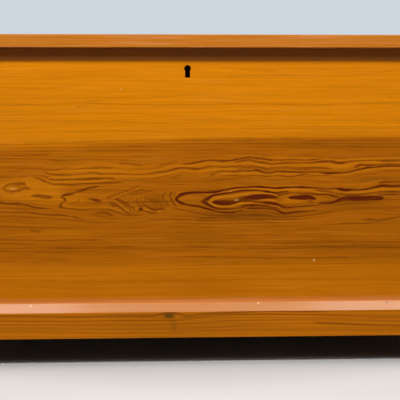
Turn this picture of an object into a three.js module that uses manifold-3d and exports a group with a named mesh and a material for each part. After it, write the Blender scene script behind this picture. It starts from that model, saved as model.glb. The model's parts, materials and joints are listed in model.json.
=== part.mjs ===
// A blanket chest: a dovetailed pine box with a hinged lid, on a chamfered plinth with bracket feet.
// Lengths are in millimetres. +Z is up and the front faces -Y.
// The origin is on the floor, under the middle.

import * as THREE from "three";
import { mergeVertices } from "three/addons/utils/BufferGeometryUtils.js";
import Module from "manifold-3d";

const wasm = await Module();
wasm.setup();

// Gaps and cutters
const jointGap = 0.3; // round a piece that is let into another
const seatGap = 0.3; // between a piece that lifts or turns and what it rests on
const cutOverrun = 6; // how far a cutter runs past what it cuts

// Carcass
const carcassWidth = 960;
const carcassDepth = 470;
const carcassHeight = 448;
const boardThickness = 20;
const bottomThickness = 16;
const bottomBoardCount = 5;
const bottomBoardGap = 1;

// Dovetails at the four upright corners
const tailCount = 6;
const pinWidth = 12; // narrow end of a pin, seen on the front and the back
const tailSpreadShare = 1 / 6; // how far a tail's side spreads, as a share of the board's thickness

// Plinth and its bracket feet
const footHeight = 45; // from the floor to the underside of the rail
const plinthThickness = 20;
const railFaceHeight = 42; // the rail's upright face, under the chamfer
const chamferHeight = 13;
const chamferDepth = 14;
const footWidth = 105;
const footStepHeight = 7;
const footStepWidth = 5;
const footRiseHeight = 5; // upright edge between the step and the curve
const footCurveSteps = 8;
const cornerBlockWidth = 40;
const cornerBlockLift = 3; // keeps the block off the floor
const cornerBlockCut = 14;

// Lid
const lidThickness = 21.5;
const lidOverhang = 22; // past the front and the two ends
const lidRearOverhang = 22; // past the back; the lid bears on the hinge plates there when it is open
const lidEase = 2; // rounding of the lid's edges
const lidRearBoardWidth = 227;
const battenWidth = 60;
const battenThickness = 20;
const battenEndSpace = 50; // from a batten's side to the end board
const battenFrontSpace = 25; // from a batten's end to the front board
const battenRearSpace = 20; // from a batten's end to the back board

// Strap hinges
const hingeEndSpace = 175; // from a strap's side to the end board
const strapWidth = 30;
const strapTipWidth = 18;
const strapLength = 200;
const strapThickness = 3;
const strapTipSteps = 6;
const barrelRadius = 4.5;
const barrelSides = 24;
const hingePinRadius = 2.5;
const hingePinGap = 0.3;
const hingePinProud = 1;
const knuckleGap = 0.6;
const plateWidth = 64;
const plateHeight = 88;
const plateThickness = 3;

// Lock: plate, case, bolt, spring and key pin in the front board, link plate on the lid
const lockFlangeWidth = 12; // the plate's reach past each side of the case
const lockPlateHeight = 66;
const lockPlateThickness = 2;
const selvedgeDepth = 16; // the plate's turned edge, let into the top of the front board
const caseWidth = 76;
const caseHeight = 54;
const caseDepth = 12;
const caseWall = 1.5;
const keyholeDrop = 31.8; // from the front board's top edge to the centre of the keyhole's round part
const keyholeRadius = 5.3;
const keyholeWaistWidth = 7.4;
const keyholeFootWidth = 8.4;
const keyholeFootDrop = 14.3; // from the centre of the round part to the foot of the slot
const keyholeSteps = 20;
const keyPinRadius = 1.5;
const keyPinSetBack = 3; // from the front face to the pin's tip
const linkWidth = 64;
const linkThickness = 2.5;
const linkDepth = 16;
const loopSpacing = 36;
const loopThickness = 3;
const loopWidth = 7.5;
const loopDrop = 18;
const loopRim = 3.5; // below the loop's hole
const loopHoleHeight = 8.2;
const loopHoleWidth = 3.6;
const loopSlotGap = 1.2; // round a loop, where it passes the selvedge and the case
const boltTravel = 6;
const boltTipGap = 0.7; // from the tip of a bolt finger to its loop, when unlocked
const boltFingerLength = 9;
const boltFingerHeight = 5;
const boltFingerThickness = 2.8;
const boltPostWidth = 4;
const boltBarHeight = 5;
const boltBarDrop = 26; // from the front board's top edge to the bar's underside
const boltEndGap = 2.5; // from the bar's end to the case's wall, when locked
const boltNotchWidth = 12; // where the key's bit pushes
const boltNotchHeight = 2.5;
const stumpWidth = 8; // the two rests that carry the bolt inside the case
const stumpHeight = 2;
const springThickness = 0.8; // the leaf that presses on the bolt's bar
const springWidth = 6;
const springDrop = 4; // from the case's inner top to where the leaf is riveted
const springInset = 5.5; // from the bar's right-hand end to the leaf's tip
const springSteps = 8;

// Countersunk wood screws: head radius, head depth, shank radius and length
const hingeScrew = { head: 4.5, sink: 2.4, shank: 2, length: 17 };
const battenScrew = { head: 4.5, sink: 2.4, shank: 2.2, length: 34 };
const lockScrew = { head: 3, sink: 1.6, shank: 1.4, length: 13 };
const screwSides = 12;
const screwTipHeight = 3;
const screwSlotWidth = 1;
const screwSlotDepth = 1;
const strapScrewShares = [0.22, 0.52, 0.82]; // of the strap's length, from the barrel
const plateScrewShares = [[-0.3, 0.3], [0.3, 0.3], [0, 0.72]]; // of the plate's width and height
const battenScrewShares = [-0.4, 0, 0.4]; // of the batten's length, from its middle
const lockScrewShares = [0.14, 0.86]; // of the lock plate's height

// Levels and faces that the pieces share
const lockPlateWidth = caseWidth + 2 * lockFlangeWidth;
const frontY = -carcassDepth / 2;
const backY = carcassDepth / 2;
const frontInnerY = frontY + boardThickness;
const backInnerY = backY - boardThickness;
const endX = carcassWidth / 2;
const endInnerX = endX - boardThickness;
const bottomTop = footHeight + bottomThickness;
const carcassTop = bottomTop + carcassHeight;
const lidBottom = carcassTop + seatGap;
const lidTop = lidBottom + lidThickness;
const railTop = footHeight + railFaceHeight + chamferHeight;
const plinthX = endX + plinthThickness;
const plinthFrontY = frontY - plinthThickness;
const strapTop = lidBottom - seatGap;
const hingeY = backY + seatGap + barrelRadius;
const hingeZ = strapTop - barrelRadius;
const lockBackY = frontInnerY - lockPlateThickness;
const caseFrontY = lockBackY - caseDepth;
const caseTop = carcassTop - lockPlateThickness;
const keyholeZ = carcassTop - keyholeDrop;
const linkY = frontInnerY - selvedgeDepth / 2;
const boltY = lockBackY - (caseDepth - caseWall) / 2;
const boltBarZ = carcassTop - boltBarDrop;
const boltBarTop = boltBarZ + boltBarHeight;

function finish(color, roughness, metalness = 0) {
  return new THREE.MeshStandardMaterial({ color, roughness, metalness, flatShading: true });
}

const frontPine = finish(0xc47a18, 0.4);
const lidPine = finish(0xc2732a, 0.4);
const sidePine = finish(0xbd7619, 0.42);
const plinthPine = finish(0xa45c0a, 0.42);
const innerPine = finish(0xc9a36a, 0.8);
const iron = finish(0x2c2a29, 0.6, 0.8);
const steel = finish(0x6e6a64, 0.45, 1);
const brass = finish(0x9c7a3c, 0.4, 1);

const chest = new THREE.Group();

// Solids

function solidOf(geometry) {
  geometry.deleteAttribute("normal");
  geometry.deleteAttribute("uv");
  const merged = mergeVertices(geometry);
  return new wasm.Manifold(
    new wasm.Mesh({
      numProp: 3,
      vertProperties: merged.attributes.position.array,
      triVerts: new Uint32Array(merged.index.array),
    }),
  );
}

function block(x0, x1, y0, y1, z0, z1) {
  const geometry = new THREE.BoxGeometry(x1 - x0, y1 - y0, z1 - z0);
  return solidOf(geometry.translate((x0 + x1) / 2, (y0 + y1) / 2, (z0 + z1) / 2));
}

function extruded(outline, depth, basis, offset) {
  const shape = new THREE.Shape(outline.map(([u, v]) => new THREE.Vector2(u, v)));
  const geometry = new THREE.ExtrudeGeometry(shape, { depth, bevelEnabled: false });
  return solidOf(geometry.applyMatrix4(basis).translate(...offset));
}

const alongX = new THREE.Matrix4().set(0, 0, 1, 0, 1, 0, 0, 0, 0, 1, 0, 0, 0, 0, 0, 1);
const alongY = new THREE.Matrix4().set(1, 0, 0, 0, 0, 0, -1, 0, 0, 1, 0, 0, 0, 0, 0, 1);
const alongZ = new THREE.Matrix4();

// A prism along one axis. Its outline is in the other two axes, in X, Y, Z order.
const prismX = (outline, x0, x1) => extruded(outline, x1 - x0, alongX, [x0, 0, 0]);
const prismY = (outline, y0, y1) => extruded(outline, y1 - y0, alongY, [0, y1, 0]);
const prismZ = (outline, z0, z1) => extruded(outline, z1 - z0, alongZ, [0, 0, z0]);

function rodX(radius, x0, x1, y, z, sides) {
  const geometry = new THREE.CylinderGeometry(radius, radius, x1 - x0, sides);
  return solidOf(geometry.rotateZ(-Math.PI / 2).translate((x0 + x1) / 2, y, z));
}

function rodY(radius, x, y0, y1, z, sides) {
  const geometry = new THREE.CylinderGeometry(radius, radius, y1 - y0, sides);
  return solidOf(geometry.translate(x, (y0 + y1) / 2, z));
}

function joined(solids) {
  return solids.reduce((whole, piece) => whole.add(piece));
}

function cut(solid, cutters) {
  return cutters.reduce((left, cutter) => left.subtract(cutter), solid);
}

const mirrored = (outline) => outline.map(([u, v]) => [-u, v]).reverse();

function add(name, solid, material) {
  const { vertProperties, triVerts } = solid.getMesh();
  const geometry = new THREE.BufferGeometry();
  geometry.setAttribute("position", new THREE.BufferAttribute(new Float32Array(vertProperties), 3));
  geometry.setIndex(new THREE.BufferAttribute(new Uint32Array(triVerts), 1));
  geometry.computeVertexNormals();
  const mesh = new THREE.Mesh(geometry, material);
  mesh.name = name;
  chest.add(mesh);
}

// Screws

const drivenUp = new THREE.Vector3(0, 0, 1);
const drivenForward = new THREE.Vector3(0, -1, 0);

// A screw's turned shape, standing on its head at the origin, along +Y, or with a gap the hole for it.
function screwForm(size, gap) {
  const profile = [
    [0, -gap],
    [size.head + gap, -gap],
    [size.shank + gap, size.sink],
    [size.shank + gap, size.length - screwTipHeight],
    [0, size.length + gap],
  ];
  return new THREE.LatheGeometry(profile.map(([r, y]) => new THREE.Vector2(r, y)), screwSides);
}

function placed(geometry, place, direction) {
  const turn = new THREE.Quaternion().setFromUnitVectors(new THREE.Vector3(0, 1, 0), direction);
  return geometry.applyQuaternion(turn).translate(...place);
}

function screw(size, place, direction) {
  const body = solidOf(placed(screwForm(size, 0), place, direction));
  const slot = new THREE.BoxGeometry(2 * (size.head + cutOverrun), 2 * screwSlotDepth, screwSlotWidth);
  return body.subtract(solidOf(placed(slot, place, direction)));
}

function screwHole(size, place, direction) {
  return solidOf(placed(screwForm(size, jointGap), place, direction));
}

const addScrews = (name, size, places, direction, material) =>
  places.forEach((place, i) => add(`${name}_${i + 1}`, screw(size, place, direction), material));

const screwHoles = (size, places, direction) => places.map((place) => screwHole(size, place, direction));

// Where the screws go

const strapScrewPlaces = (x) =>
  strapScrewShares.map((share) => [x, hingeY - share * strapLength, strapTop - strapThickness]);

const plateScrewPlaces = (x) =>
  plateScrewShares.map(([across, down]) => [
    x + across * plateWidth,
    backY + seatGap + plateThickness,
    hingeZ - barrelRadius - down * plateHeight,
  ]);

const battenRearY = backInnerY - battenRearSpace;
const battenFrontY = frontInnerY + battenFrontSpace;
const battenLength = battenRearY - battenFrontY;
const battenMiddleY = (battenRearY + battenFrontY) / 2;
const battenScrewPlaces = (x) =>
  battenScrewShares.map((share) => [x, battenMiddleY + share * battenLength, lidBottom - battenThickness]);

const lockScrewX = (caseWidth + lockFlangeWidth) / 2;
const lockScrewPlaces = [-lockScrewX, lockScrewX].flatMap((x) =>
  lockScrewShares.map((share) => [x, frontInnerY, carcassTop - share * lockPlateHeight]),
);

const linkScrewX = (linkWidth + loopSpacing) / 4 + lockScrew.head / 2;
const linkScrewPlaces = [-linkScrewX, linkScrewX].map((x) => [x, linkY, lidBottom]);

const hingeX = endInnerX - hingeEndSpace - strapWidth / 2;
const battenX = endInnerX - battenEndSpace - battenWidth / 2;
const sides = [["left", -1], ["right", 1]];

// Carcass

const tailPitch = carcassHeight / tailCount;

// The outline of one tail at the right-hand end, grown by a gap and run past both ends by an overrun.
function tailOutline(index, gap, overrun) {
  const middle = bottomTop + (index + 0.5) * tailPitch;
  const endHalf = (tailPitch - pinWidth) / 2 + gap;
  const innerHalf = endHalf - (boardThickness + overrun) * tailSpreadShare;
  const outerHalf = endHalf + overrun * tailSpreadShare;
  return [
    [endInnerX - overrun, middle - innerHalf],
    [endX + overrun, middle - outerHalf],
    [endX + overrun, middle + outerHalf],
    [endInnerX - overrun, middle + innerHalf],
  ];
}

const tailIndexes = [...Array(tailCount).keys()];

// Front and back boards: tails at both ends.
function tailBoard(y0, y1) {
  const rightEnd = tailIndexes.flatMap((i) => tailOutline(i, 0, 0));
  const outline = [
    [-endInnerX, bottomTop],
    [endInnerX, bottomTop],
    ...rightEnd,
    [endInnerX, carcassTop],
    [-endInnerX, carcassTop],
    ...mirrored(rightEnd),
  ];
  return prismY(outline, y0, y1);
}

// End boards: pins at both ends, cut by the tails.
function pinBoard(side) {
  const [x0, x1] = side > 0 ? [endInnerX, endX] : [-endX, -endInnerX];
  const sockets = tailIndexes.flatMap((i) => {
    const right = tailOutline(i, jointGap, cutOverrun);
    const outline = side > 0 ? right : mirrored(right);
    return [
      prismY(outline, frontY - cutOverrun, frontInnerY + jointGap),
      prismY(outline, backInnerY - jointGap, backY + cutOverrun),
    ];
  });
  return cut(block(x0, x1, frontY, backY, bottomTop, carcassTop), sockets);
}

function keyholeOutline() {
  const waist = keyholeWaistWidth / 2;
  const start = -Math.PI / 2 + Math.asin(waist / keyholeRadius);
  const sweep = 2 * Math.PI - 2 * Math.asin(waist / keyholeRadius);
  const round = [...Array(keyholeSteps + 1).keys()].map((i) => {
    const angle = start + (i * sweep) / keyholeSteps;
    return [keyholeRadius * Math.cos(angle), keyholeZ + keyholeRadius * Math.sin(angle)];
  });
  const footZ = keyholeZ - keyholeFootDrop;
  return [...round, [-keyholeFootWidth / 2, footZ], [keyholeFootWidth / 2, footZ]];
}

function frontBoard() {
  const plateX = lockPlateWidth / 2 + jointGap;
  const caseX = caseWidth / 2 + jointGap;
  const inY = frontInnerY + cutOverrun;
  const aboveZ = carcassTop + cutOverrun;
  const plateZ = carcassTop - lockPlateHeight - jointGap;
  const caseZ = caseTop - caseHeight - jointGap;
  return cut(tailBoard(frontY, frontInnerY), [
    prismY(keyholeOutline(), frontY - cutOverrun, inY),
    block(-plateX, plateX, lockBackY - jointGap, inY, plateZ, aboveZ),
    block(-plateX, plateX, frontInnerY - selvedgeDepth - jointGap, inY, caseTop - jointGap, aboveZ),
    block(-caseX, caseX, caseFrontY - jointGap, inY, caseZ, aboveZ),
    ...screwHoles(lockScrew, lockScrewPlaces, drivenForward),
  ]);
}

function backBoard() {
  const halfNotch = strapWidth / 2 + knuckleGap;
  const [y0, y1] = [backInnerY - cutOverrun, backY + cutOverrun];
  const [z0, z1] = [strapTop - strapThickness - seatGap, carcassTop + cutOverrun];
  const cutters = [-hingeX, hingeX].flatMap((x) => [
    block(x - halfNotch, x + halfNotch, y0, y1, z0, z1),
    ...screwHoles(hingeScrew, plateScrewPlaces(x), drivenForward),
  ]);
  return cut(tailBoard(backInnerY, backY), cutters);
}

function addCarcass() {
  add("front_board", frontBoard(), frontPine);
  add("back_board", backBoard(), sidePine);
  add("left_end_board", pinBoard(-1), sidePine);
  add("right_end_board", pinBoard(1), sidePine);
  const pitch = carcassWidth / bottomBoardCount;
  for (let i = 0; i < bottomBoardCount; i++) {
    const x0 = -endX + i * pitch + (i > 0 ? bottomBoardGap / 2 : 0);
    const x1 = -endX + (i + 1) * pitch - (i < bottomBoardCount - 1 ? bottomBoardGap / 2 : 0);
    const board = block(x0, x1, frontY, backY, footHeight, bottomTop);
    add(`bottom_board_${i + 1}`, board, innerPine);
  }
}

// Plinth

// The plinth's section, from its outer face at 0 to its inner face, as [inwards, up].
const plinthSection = [
  [0, 0],
  [plinthThickness, 0],
  [plinthThickness, railTop],
  [chamferDepth, railTop],
  [0, railTop - chamferHeight],
];

// The inner edge of a bracket foot that stands at 0 and reaches footWidth, from the floor up to the rail.
function bracketEdge() {
  const curveStart = footWidth + footStepWidth;
  const centreV = footStepHeight + footRiseHeight;
  const radius = footHeight - centreV;
  const centreU = curveStart + radius;
  const curve = [...Array(footCurveSteps + 1).keys()].map((i) => {
    const angle = Math.PI - (i * Math.PI) / 2 / footCurveSteps;
    return [centreU + radius * Math.cos(angle), centreV + radius * Math.sin(angle)];
  });
  return [[footWidth, footStepHeight], [curveStart, footStepHeight], ...curve];
}

// The opening under the rail of a plinth board that runs from u0 to u1.
function underRail(u0, u1) {
  const left = bracketEdge().map(([u, v]) => [u0 + u, v]);
  const right = bracketEdge().map(([u, v]) => [u1 - u, v]).reverse();
  return [[u0 + footWidth, -cutOverrun], ...left, ...right, [u1 - footWidth, -cutOverrun]].reverse();
}

function frontPlinth() {
  const section = plinthSection.map(([inwards, up]) => [plinthFrontY + inwards, up]);
  const plan = [
    [-plinthX + jointGap, plinthFrontY],
    [plinthX - jointGap, plinthFrontY],
    [endX - jointGap, frontY],
    [-endX + jointGap, frontY],
  ];
  return prismX(section, -plinthX, plinthX)
    .intersect(prismZ(plan, -cutOverrun, railTop + cutOverrun))
    .subtract(prismY(underRail(-plinthX, plinthX), plinthFrontY - cutOverrun, frontY + cutOverrun));
}

function endPlinth(side) {
  const section = plinthSection.map(([inwards, up]) => [plinthX - inwards, up]);
  const plan = [
    [endX, frontY],
    [plinthX, plinthFrontY],
    [plinthX, backY],
    [endX, backY],
  ];
  const toSide = (outline) => (side > 0 ? outline : mirrored(outline));
  const [x0, x1] = side > 0 ? [endX, plinthX] : [-plinthX, -endX];
  return prismY(toSide(section), plinthFrontY, backY)
    .intersect(prismZ(toSide(plan), -cutOverrun, railTop + cutOverrun))
    .subtract(prismX(underRail(plinthFrontY, backY), x0 - cutOverrun, x1 + cutOverrun));
}

function rearFoot(side) {
  const edge = bracketEdge().map(([u, v]) => [plinthX - u, v]);
  const outline = [[endX, 0], [endX, footHeight], ...edge.reverse(), [plinthX - footWidth, 0]];
  return prismY(side > 0 ? outline : mirrored(outline), backInnerY, backY);
}

function cornerBlock(side, outerY, inwards) {
  const farX = endX - cornerBlockWidth;
  const farY = outerY + inwards * cornerBlockWidth;
  const outline = [
    [endX, outerY],
    [endX, farY],
    [farX + cornerBlockCut, farY],
    [farX, farY - inwards * cornerBlockCut],
    [farX, outerY],
  ];
  return prismZ(side > 0 ? outline : mirrored(outline), cornerBlockLift, footHeight);
}

function addPlinth() {
  add("plinth_front", frontPlinth(), plinthPine);
  for (const [name, side] of sides) {
    add(`plinth_${name}`, endPlinth(side), plinthPine);
    add(`rear_foot_${name}`, rearFoot(side), plinthPine);
    add(`corner_block_front_${name}`, cornerBlock(side, frontY, 1), innerPine);
    add(`corner_block_rear_${name}`, cornerBlock(side, backInnerY, -1), innerPine);
  }
}

// Lid

// The whole lid as one slab with rounded edges, before it is parted into its two boards.
function lidSlab() {
  const x = carcassWidth / 2 + lidOverhang;
  const outline = [
    [-x, frontY - lidOverhang],
    [x, frontY - lidOverhang],
    [x, backY + lidRearOverhang],
    [-x, backY + lidRearOverhang],
  ];
  const shape = new THREE.Shape(outline.map(([u, v]) => new THREE.Vector2(u, v)));
  const geometry = new THREE.ExtrudeGeometry(shape, {
    depth: lidThickness - 2 * lidEase,
    bevelThickness: lidEase,
    bevelSize: lidEase,
    bevelOffset: -lidEase,
    bevelSegments: 2,
  });
  return solidOf(geometry.translate(0, 0, lidBottom + lidEase));
}

function linkRecess() {
  const x = linkWidth / 2 + jointGap;
  const y = linkDepth / 2 + jointGap;
  return block(-x, x, linkY - y, linkY + y, lidBottom - cutOverrun, lidBottom + linkThickness + jointGap);
}

function addLidBoards() {
  const x = carcassWidth / 2 + lidOverhang + cutOverrun;
  const partingY = backY + lidRearOverhang - lidRearBoardWidth;
  const [z0, z1] = [lidBottom - cutOverrun, lidTop + cutOverrun];
  const frontHalf = block(-x, x, frontY - lidOverhang - cutOverrun, partingY, z0, z1);
  const rearHalf = block(-x, x, partingY, backY + lidRearOverhang + cutOverrun, z0, z1);
  const slab = cut(lidSlab(), [
    linkRecess(),
    ...screwHoles(lockScrew, linkScrewPlaces, drivenUp),
    ...[-battenX, battenX].flatMap((place) => screwHoles(battenScrew, battenScrewPlaces(place), drivenUp)),
    ...[-hingeX, hingeX].flatMap((place) => screwHoles(hingeScrew, strapScrewPlaces(place), drivenUp)),
  ]);
  add("lid_board_front", slab.intersect(frontHalf), lidPine);
  add("lid_board_rear", slab.intersect(rearHalf), lidPine);
}

function addBatten(name, x) {
  const [x0, x1] = [x - battenWidth / 2, x + battenWidth / 2];
  const batten = block(x0, x1, battenFrontY, battenRearY, lidBottom - battenThickness, lidBottom);
  const places = battenScrewPlaces(x);
  add(`lid_batten_${name}`, cut(batten, screwHoles(battenScrew, places, drivenUp)), innerPine);
  addScrews(`batten_screw_${name}`, battenScrew, places, drivenUp, steel);
}

// Hinges

function strapOutline(x) {
  const tipY = hingeY - strapLength;
  const radius = strapTipWidth / 2;
  const tip = [...Array(strapTipSteps + 1).keys()].map((i) => {
    const angle = -(i * Math.PI) / strapTipSteps;
    return [x + radius * Math.cos(angle), tipY + radius + radius * Math.sin(angle)];
  });
  return [[x - strapWidth / 2, hingeY], ...tip.reverse(), [x + strapWidth / 2, hingeY]];
}

const hingeBarrel = (x0, x1) => rodX(barrelRadius, x0, x1, hingeY, hingeZ, barrelSides);

function hingeBore(x) {
  const reach = plateWidth / 2 + cutOverrun;
  return rodX(hingePinRadius + hingePinGap, x - reach, x + reach, hingeY, hingeZ, barrelSides);
}

function hingeStrap(x) {
  const strap = prismZ(strapOutline(x), strapTop - strapThickness, strapTop);
  const knuckle = hingeBarrel(x - strapWidth / 2, x + strapWidth / 2);
  return cut(strap.add(knuckle), [hingeBore(x), ...screwHoles(hingeScrew, strapScrewPlaces(x), drivenUp)]);
}

function hingePlate(x) {
  const top = hingeZ - barrelRadius - knuckleGap;
  const [y0, y1] = [backY + seatGap, backY + seatGap + plateThickness];
  const outer = plateWidth / 2;
  const inner = strapWidth / 2 + knuckleGap;
  const ears = [[x - outer, x - inner], [x + inner, x + outer]];
  const plate = joined([
    block(x - outer, x + outer, y0, y1, top - plateHeight, top),
    ...ears.map(([x0, x1]) => block(x0, x1, y0, y1, top, hingeZ)),
    ...ears.map(([x0, x1]) => hingeBarrel(x0, x1)),
  ]);
  return cut(plate, [hingeBore(x), ...screwHoles(hingeScrew, plateScrewPlaces(x), drivenForward)]);
}

function addHinge(name, x) {
  const pinReach = plateWidth / 2 + hingePinProud;
  const pin = rodX(hingePinRadius, x - pinReach, x + pinReach, hingeY, hingeZ, barrelSides);
  add(`hinge_strap_${name}`, hingeStrap(x), iron);
  add(`hinge_plate_${name}`, hingePlate(x), iron);
  add(`hinge_pin_${name}`, pin, iron);
  addScrews(`strap_screw_${name}`, hingeScrew, strapScrewPlaces(x), drivenUp, steel);
  addScrews(`plate_screw_${name}`, hingeScrew, plateScrewPlaces(x), drivenForward, steel);
}

// Lock

const loopXs = [-loopSpacing / 2, loopSpacing / 2];
const postX = (loopX) => loopX - loopThickness / 2 - boltTipGap - boltFingerLength;
const boltLeftX = postX(loopXs[0]) - boltPostWidth;
const boltRightX = caseWidth / 2 - caseWall - boltEndGap - boltTravel;

// The slots that the lid's loops drop through, in the selvedge and in the top of the case.
function loopSlots() {
  const x = loopThickness / 2 + loopSlotGap;
  const y = loopWidth / 2 + loopSlotGap;
  const [z0, z1] = [caseTop - caseWall - cutOverrun / 2, carcassTop + cutOverrun];
  return loopXs.map((loopX) => block(loopX - x, loopX + x, boltY - y, boltY + y, z0, z1));
}

function lockPlate() {
  const x = lockPlateWidth / 2;
  const plate = block(-x, x, lockBackY, frontInnerY, carcassTop - lockPlateHeight, carcassTop);
  const selvedge = block(-x, x, frontInnerY - selvedgeDepth, frontInnerY, caseTop, carcassTop);
  const holes = screwHoles(lockScrew, lockScrewPlaces, drivenForward);
  return cut(plate.add(selvedge), [...loopSlots(), ...holes]);
}

function lockCase() {
  const x = caseWidth / 2;
  const innerX = x - caseWall;
  const low = caseTop - caseHeight;
  const innerY = caseFrontY + caseWall;
  const shell = cut(block(-x, x, caseFrontY, lockBackY, low, caseTop), [
    block(-innerX, innerX, innerY, lockBackY + cutOverrun, low + caseWall, caseTop - caseWall),
    prismY(keyholeOutline(), caseFrontY - cutOverrun, innerY + caseWall),
    ...loopSlots(),
  ]);
  const stumpTop = boltBarZ - seatGap;
  const stumps = [boltLeftX, boltRightX - stumpWidth].map((x0) =>
    block(x0, x0 + stumpWidth, innerY - caseWall / 2, lockBackY, stumpTop - stumpHeight, stumpTop),
  );
  return joined([shell, ...stumps]);
}

// One of the bolt's two hooks: a post on the bar, with a finger that enters a loop of the link plate.
function boltHook(loopX) {
  const x = postX(loopX);
  const [y0, y1] = [boltY - boltFingerThickness / 2, boltY + boltFingerThickness / 2];
  const top = lidBottom - loopDrop + loopRim + (loopHoleHeight + boltFingerHeight) / 2;
  const post = block(x - boltPostWidth, x, y0, y1, boltBarTop - boltBarHeight / 2, top);
  return post.add(block(x - boltPostWidth / 2, x + boltFingerLength, y0, y1, top - boltFingerHeight, top));
}

function lockBolt() {
  const [y0, y1] = [caseFrontY + caseWall + seatGap, lockBackY - seatGap];
  const bar = block(boltLeftX, boltRightX, y0, y1, boltBarZ, boltBarTop);
  const notchX = boltNotchWidth / 2;
  const notchTop = boltBarZ + boltNotchHeight;
  const notch = block(-notchX, notchX, y0 - cutOverrun, y1 + cutOverrun, boltBarZ - cutOverrun, notchTop);
  return joined([bar.subtract(notch), ...loopXs.map(boltHook)]);
}

// A leaf riveted to the case's right-hand wall. It curves down and bears on the bolt's bar.
function lockSpring() {
  const wallX = caseWidth / 2 - caseWall;
  const tipX = boltRightX - springInset;
  const rivetZ = caseTop - caseWall - springDrop;
  const tipZ = boltBarTop + seatGap;
  const edge = (offset) =>
    [...Array(springSteps + 1).keys()].map((i) => {
      const angle = ((i / springSteps) * Math.PI) / 2;
      return [
        tipX + (wallX - tipX - offset) * Math.sin(angle),
        rivetZ - (rivetZ - tipZ - offset) * Math.cos(angle),
      ];
    });
  const outline = [...edge(0), ...edge(springThickness).reverse()];
  return prismY(outline, boltY - springWidth / 2, boltY + springWidth / 2);
}

function linkPlate() {
  const x = linkWidth / 2;
  const y = linkDepth / 2;
  const plate = block(-x, x, linkY - y, linkY + y, lidBottom, lidBottom + linkThickness);
  const loopFoot = lidBottom - loopDrop;
  const [y0, y1] = [boltY - loopWidth / 2, boltY + loopWidth / 2];
  const loops = loopXs.map((loopX) => {
    const [x0, x1] = [loopX - loopThickness / 2, loopX + loopThickness / 2];
    return block(x0, x1, y0, y1, loopFoot, lidBottom + linkThickness / 2);
  });
  const [holeY0, holeY1] = [boltY - loopHoleWidth / 2, boltY + loopHoleWidth / 2];
  const holeZ = loopFoot + loopRim;
  const holes = block(-x, x, holeY0, holeY1, holeZ, holeZ + loopHoleHeight);
  return cut(joined([plate, ...loops]), [holes, ...screwHoles(lockScrew, linkScrewPlaces, drivenUp)]);
}

function addLock() {
  const keyPin = rodY(keyPinRadius, 0, frontY + keyPinSetBack, lockBackY, keyholeZ, screwSides);
  add("lock_plate", lockPlate(), brass);
  add("lock_case", lockCase(), iron);
  add("lock_bolt", lockBolt(), brass);
  add("lock_spring", lockSpring(), steel);
  add("lock_key_pin", keyPin, steel);
  add("lid_link_plate", linkPlate(), brass);
  addScrews("lock_screw", lockScrew, lockScrewPlaces, drivenForward, brass);
  addScrews("link_screw", lockScrew, linkScrewPlaces, drivenUp, brass);
}

addCarcass();
addPlinth();
addLidBoards();
for (const [name, side] of sides) {
  addBatten(name, side * battenX);
  addHinge(name, side * hingeX);
}
addLock();

export default chest;
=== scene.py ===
import json
import math

import bmesh
import bpy
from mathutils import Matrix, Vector, noise
from mathutils.bvhtree import BVHTree

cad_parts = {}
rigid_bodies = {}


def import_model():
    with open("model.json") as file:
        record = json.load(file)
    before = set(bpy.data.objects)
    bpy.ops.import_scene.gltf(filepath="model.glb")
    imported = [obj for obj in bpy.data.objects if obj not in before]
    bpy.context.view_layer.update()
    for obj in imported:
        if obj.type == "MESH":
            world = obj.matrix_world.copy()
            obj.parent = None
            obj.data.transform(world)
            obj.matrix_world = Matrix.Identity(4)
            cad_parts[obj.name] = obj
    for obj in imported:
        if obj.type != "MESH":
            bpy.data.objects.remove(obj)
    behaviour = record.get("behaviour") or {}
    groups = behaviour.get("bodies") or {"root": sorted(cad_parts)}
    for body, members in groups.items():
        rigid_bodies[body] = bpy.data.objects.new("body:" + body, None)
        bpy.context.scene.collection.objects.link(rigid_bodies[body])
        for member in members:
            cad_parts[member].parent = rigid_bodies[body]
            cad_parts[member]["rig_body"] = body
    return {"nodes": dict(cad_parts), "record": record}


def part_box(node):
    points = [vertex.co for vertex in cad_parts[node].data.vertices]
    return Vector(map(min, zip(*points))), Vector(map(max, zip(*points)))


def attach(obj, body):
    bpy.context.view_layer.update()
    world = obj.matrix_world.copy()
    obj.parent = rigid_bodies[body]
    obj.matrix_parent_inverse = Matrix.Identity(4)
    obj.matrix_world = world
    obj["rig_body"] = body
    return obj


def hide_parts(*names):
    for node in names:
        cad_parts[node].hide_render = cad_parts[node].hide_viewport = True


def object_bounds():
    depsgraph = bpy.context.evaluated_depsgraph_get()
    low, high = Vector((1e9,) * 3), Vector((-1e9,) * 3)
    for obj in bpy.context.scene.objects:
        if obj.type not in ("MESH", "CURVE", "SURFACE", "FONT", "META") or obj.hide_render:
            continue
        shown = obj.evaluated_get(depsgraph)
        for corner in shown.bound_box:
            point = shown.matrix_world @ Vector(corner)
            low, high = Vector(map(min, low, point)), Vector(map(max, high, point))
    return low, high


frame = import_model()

# The looks of a pine blanket chest. Lengths are metres in the CAD frame, unless a name says otherwise.
# The colours given to tone are the 0 to 255 values that they show as, and the others are linear.

CAD_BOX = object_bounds()
MM = 0.001

# The photograph's camera, in its 400 x 400 pixels
PHOTO_SIDE = 400
PHOTO_MIDDLE = PHOTO_SIDE / 2
FOCAL_PIXELS = 1300
SENSOR_WIDTH_MM = 36
CAMERA_YAW = math.radians(3.3)
CAMERA_PITCH = math.radians(5.1)
CAMERA_DISTANCE = 2.1
AIM_HEIGHT = 0.266
AIM_SIDE = 0.0199

# The faces that the boxes of the CAD nodes give
FRONT_LOW, FRONT_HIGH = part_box("front_board")
BACK_LOW, BACK_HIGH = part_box("back_board")
LID_LOW, LID_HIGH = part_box("lid_board_front")
PLINTH_LOW, PLINTH_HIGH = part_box("plinth_front")
FRONT_FACE = FRONT_LOW.y


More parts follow.
